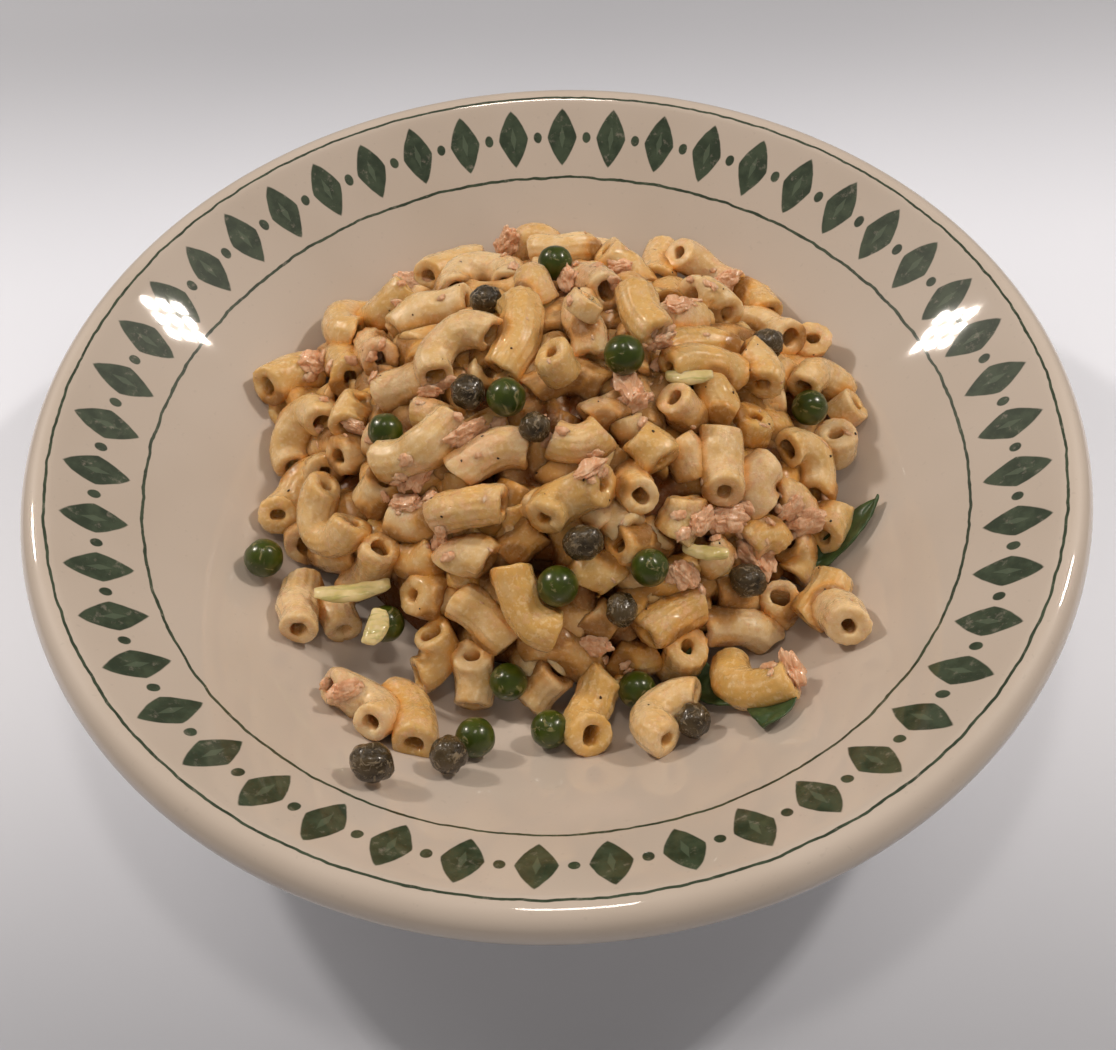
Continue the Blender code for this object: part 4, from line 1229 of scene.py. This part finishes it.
def seenSpots(surface, draw, count):
    # places on the heap, most of them seen from above, a few from each side
    found = []
    across, deep = scraps["spread"]
    while len(found) < count:
        reach, angle = math.sqrt(draw.uniform(0, 1.12)), draw.uniform(0, 2 * math.pi)
        start = np.array([mound["x"] + reach * across * math.cos(angle),
                          mound["y"] + reach * deep * math.sin(angle), scraps["dropHeight"]])
        slope = np.array([draw.uniform(-0.5, 0.5), draw.uniform(-0.5, 0.5), -1.0])
        where, normal, _, _ = surface.ray_cast(Vector(start - slope * scraps["startBack"]), Vector(slope))
        if overBowl(where, scraps["overBowl"]):
            found.append((np.array(where), np.array(normal if normal.z >= 0 else -normal)))
    return found


def seenFromCamera(surface, x, y):
    # where the ray through a pixel meets the heap, and the side of it that faces the camera
    where, normal, _, _ = surface.ray_cast(Vector(eye), Vector(viewRay(x, y)))
    if where is not None and normal.dot(Vector(eyeBack)) < 0:
        normal = -normal
    return where, normal


def makeScraps():
    draw = np.random.default_rng(scraps["seed"])
    surface = surfaceOf(["macaroni_front", "macaroni_back", "macaroni_inner", "macaroni_under", "heap_core"])
    flakes, crumbs, pepper = [], [], []
    for x, y, length, width, turn, _ in salmon:
        where, normal = seenFromCamera(surface, x, y)
        if where is None:
            continue
        heading = math.radians(turn)
        shares = scraps["flakeShape"]
        half = (length * shares[0], width * shares[1], width * shares[2])
        flakes.append((np.array(where), normal, half, heading, scraps["flakeSink"]))
        for _ in range(scraps["nearFlake"]):
            aside, below = (draw.normal() * spread for spread in scraps["nearSpread"])
            place, facing = seenFromCamera(surface, x + aside, y + below)
            if overBowl(place, scraps["shredOverBowl"]):
                half = sized(draw.uniform(*scraps["shredSize"]), scraps["shredShape"])
                turned = heading + draw.normal() * 0.6
                crumbs.append((np.array(place), facing, half, turned, scraps["crumbSink"]))
    for where, normal in seenSpots(surface, draw, scraps["crumbs"]):
        size = draw.uniform(*scraps["crumbSize"]) * draw.uniform(0.6, 1.0)
        half = sized(size, scraps["crumbShape"])
        crumbs.append((where, normal, half, draw.uniform(0, 3.1), scraps["crumbSink"]))
    fish, (flakeRough, crumbRough, pepperRough) = salmonMaterial(), scraps["rough"]
    addScraps("salmon_flakes", ballPoints(5), flakes, draw, fish, flakeRough)
    addScraps("salmon_crumbs", ballPoints(3), crumbs, draw, fish, crumbRough)
    for where, normal in seenSpots(surface, draw, scraps["pepper"]):
        half = sized(draw.uniform(*scraps["pepperSize"]), scraps["pepperShape"])
        pepper.append((where, normal, half, draw.uniform(0, 3.1), scraps["pepperSink"]))
    addScraps("pepper_specks", ballPoints(2), pepper, draw, pepperMaterial(), pepperRough)


makeScraps()


# Table and light
table = {      # in metres, like the lights; painted shade darkens it in front of and behind its middle
    "width": 16.0, "tones": (rgb(0.79, 0.84, 0.955), rgb(0.765, 0.815, 0.93)),
    "middle": 0.03, "paintedShade": 0.45, "paintedShadeFrom": 0.05, "paintedShadeTo": 0.19,
}
warmth = (1.0, 0.90, 0.80)
softLights = {        # broad and even; they make the shadows
    "softLeft": {"at": (-0.40, 0.20, 0.44), "size": (0.30, 0.24), "power": 0.51},
    "softRight": {"at": (0.40, 0.20, 0.44), "size": (0.30, 0.24), "power": 0.51},
    "softAbove": {"at": (0.0, 0.10, 0.80), "size": (0.10, 0.10), "power": 0.8, "glossy": True},
    "softFront": {"at": (0.0, -0.52, 0.60), "size": (0.40, 0.25), "power": 1.12},
}
panelLights = {       # two small lamps with a grid of cells; they make the glints
    "left": (-0.563, 0.364, 0.557), "right": (0.567, 0.249, 0.622),
    "cells": 3, "pitch": 0.020, "cell": 0.011, "power": 0.29,
}
skyStrength = 0.15
lampTarget = (0, 0, 0.03)


def makeTable():
    made, tree, shader = newMaterial("paleTable", Roughness=0.45)
    across = add(tree, "SeparateXYZ", {0: place(tree)}).outputs[1]
    # painted shade: black laid over the table, more the farther it lies from its middle
    depth = maths(tree, "ABSOLUTE", minus(tree, across, table["middle"]))
    paintedShade = span(tree, depth, table["paintedShadeFrom"], table["paintedShadeTo"])
    colour = layOver(tree, mottle(tree, 160, 2, 0.3, 0.7, table["tones"]), paintedShade, table["paintedShade"], rgb(0, 0, 0))
    link(tree, shader, Base_Color=colour, Normal=bump(tree, grain(tree, 0.8, 2), 0.02, 0.3))
    mesh = bpy.data.meshes.new("table_top")
    half = table["width"] / 2
    corners = [(-half, -half, 0), (half, -half, 0), (half, half, 0), (-half, half, 0)]
    mesh.from_pydata(corners, [], [(0, 1, 2, 3)])
    mesh.materials.append(made)
    floor = bpy.data.objects.new("table_top", mesh)
    bpy.context.scene.collection.objects.link(floor)


def addLamp(name, at, size, power):
    data = bpy.data.lights.new(name, "AREA")
    data.shape = "RECTANGLE"
    data.size, data.size_y = size
    data.energy = power
    data.color = warmth
    lamp = bpy.data.objects.new(name, data)
    lamp.location = at
    lamp.rotation_euler = (Vector(lampTarget) - Vector(at)).to_track_quat("-Z", "Y").to_euler()
    bpy.context.scene.collection.objects.link(lamp)
    return lamp


def makeLights():
    for name, light in softLights.items():
        lamp = addLamp(name, light["at"], light["size"], light["power"])
        lamp.visible_glossy = light.get("glossy", False)
    cells = panelLights["cells"]
    for name in ("left", "right"):
        middle = Vector(panelLights[name])
        across = middle.cross(Vector((0, 0, 1))).normalized()
        upward = across.cross(middle).normalized()
        for cell in range(cells * cells):
            row, column = divmod(cell, cells)
            shift = across * (column - (cells - 1) / 2) + upward * (row - (cells - 1) / 2)
            addLamp(f"panel_{name}_{cell}", middle + shift * panelLights["pitch"],
                    (panelLights["cell"],) * 2, panelLights["power"])
    world = bpy.data.worlds.new("studio")
    world.use_nodes = True
    sky = world.node_tree.nodes["Background"]
    sky.inputs["Color"].default_value = (*warmth, 1.0)
    sky.inputs["Strength"].default_value = skyStrength
    bpy.context.scene.world = world


makeTable()
makeLights()
print("table and light ready")
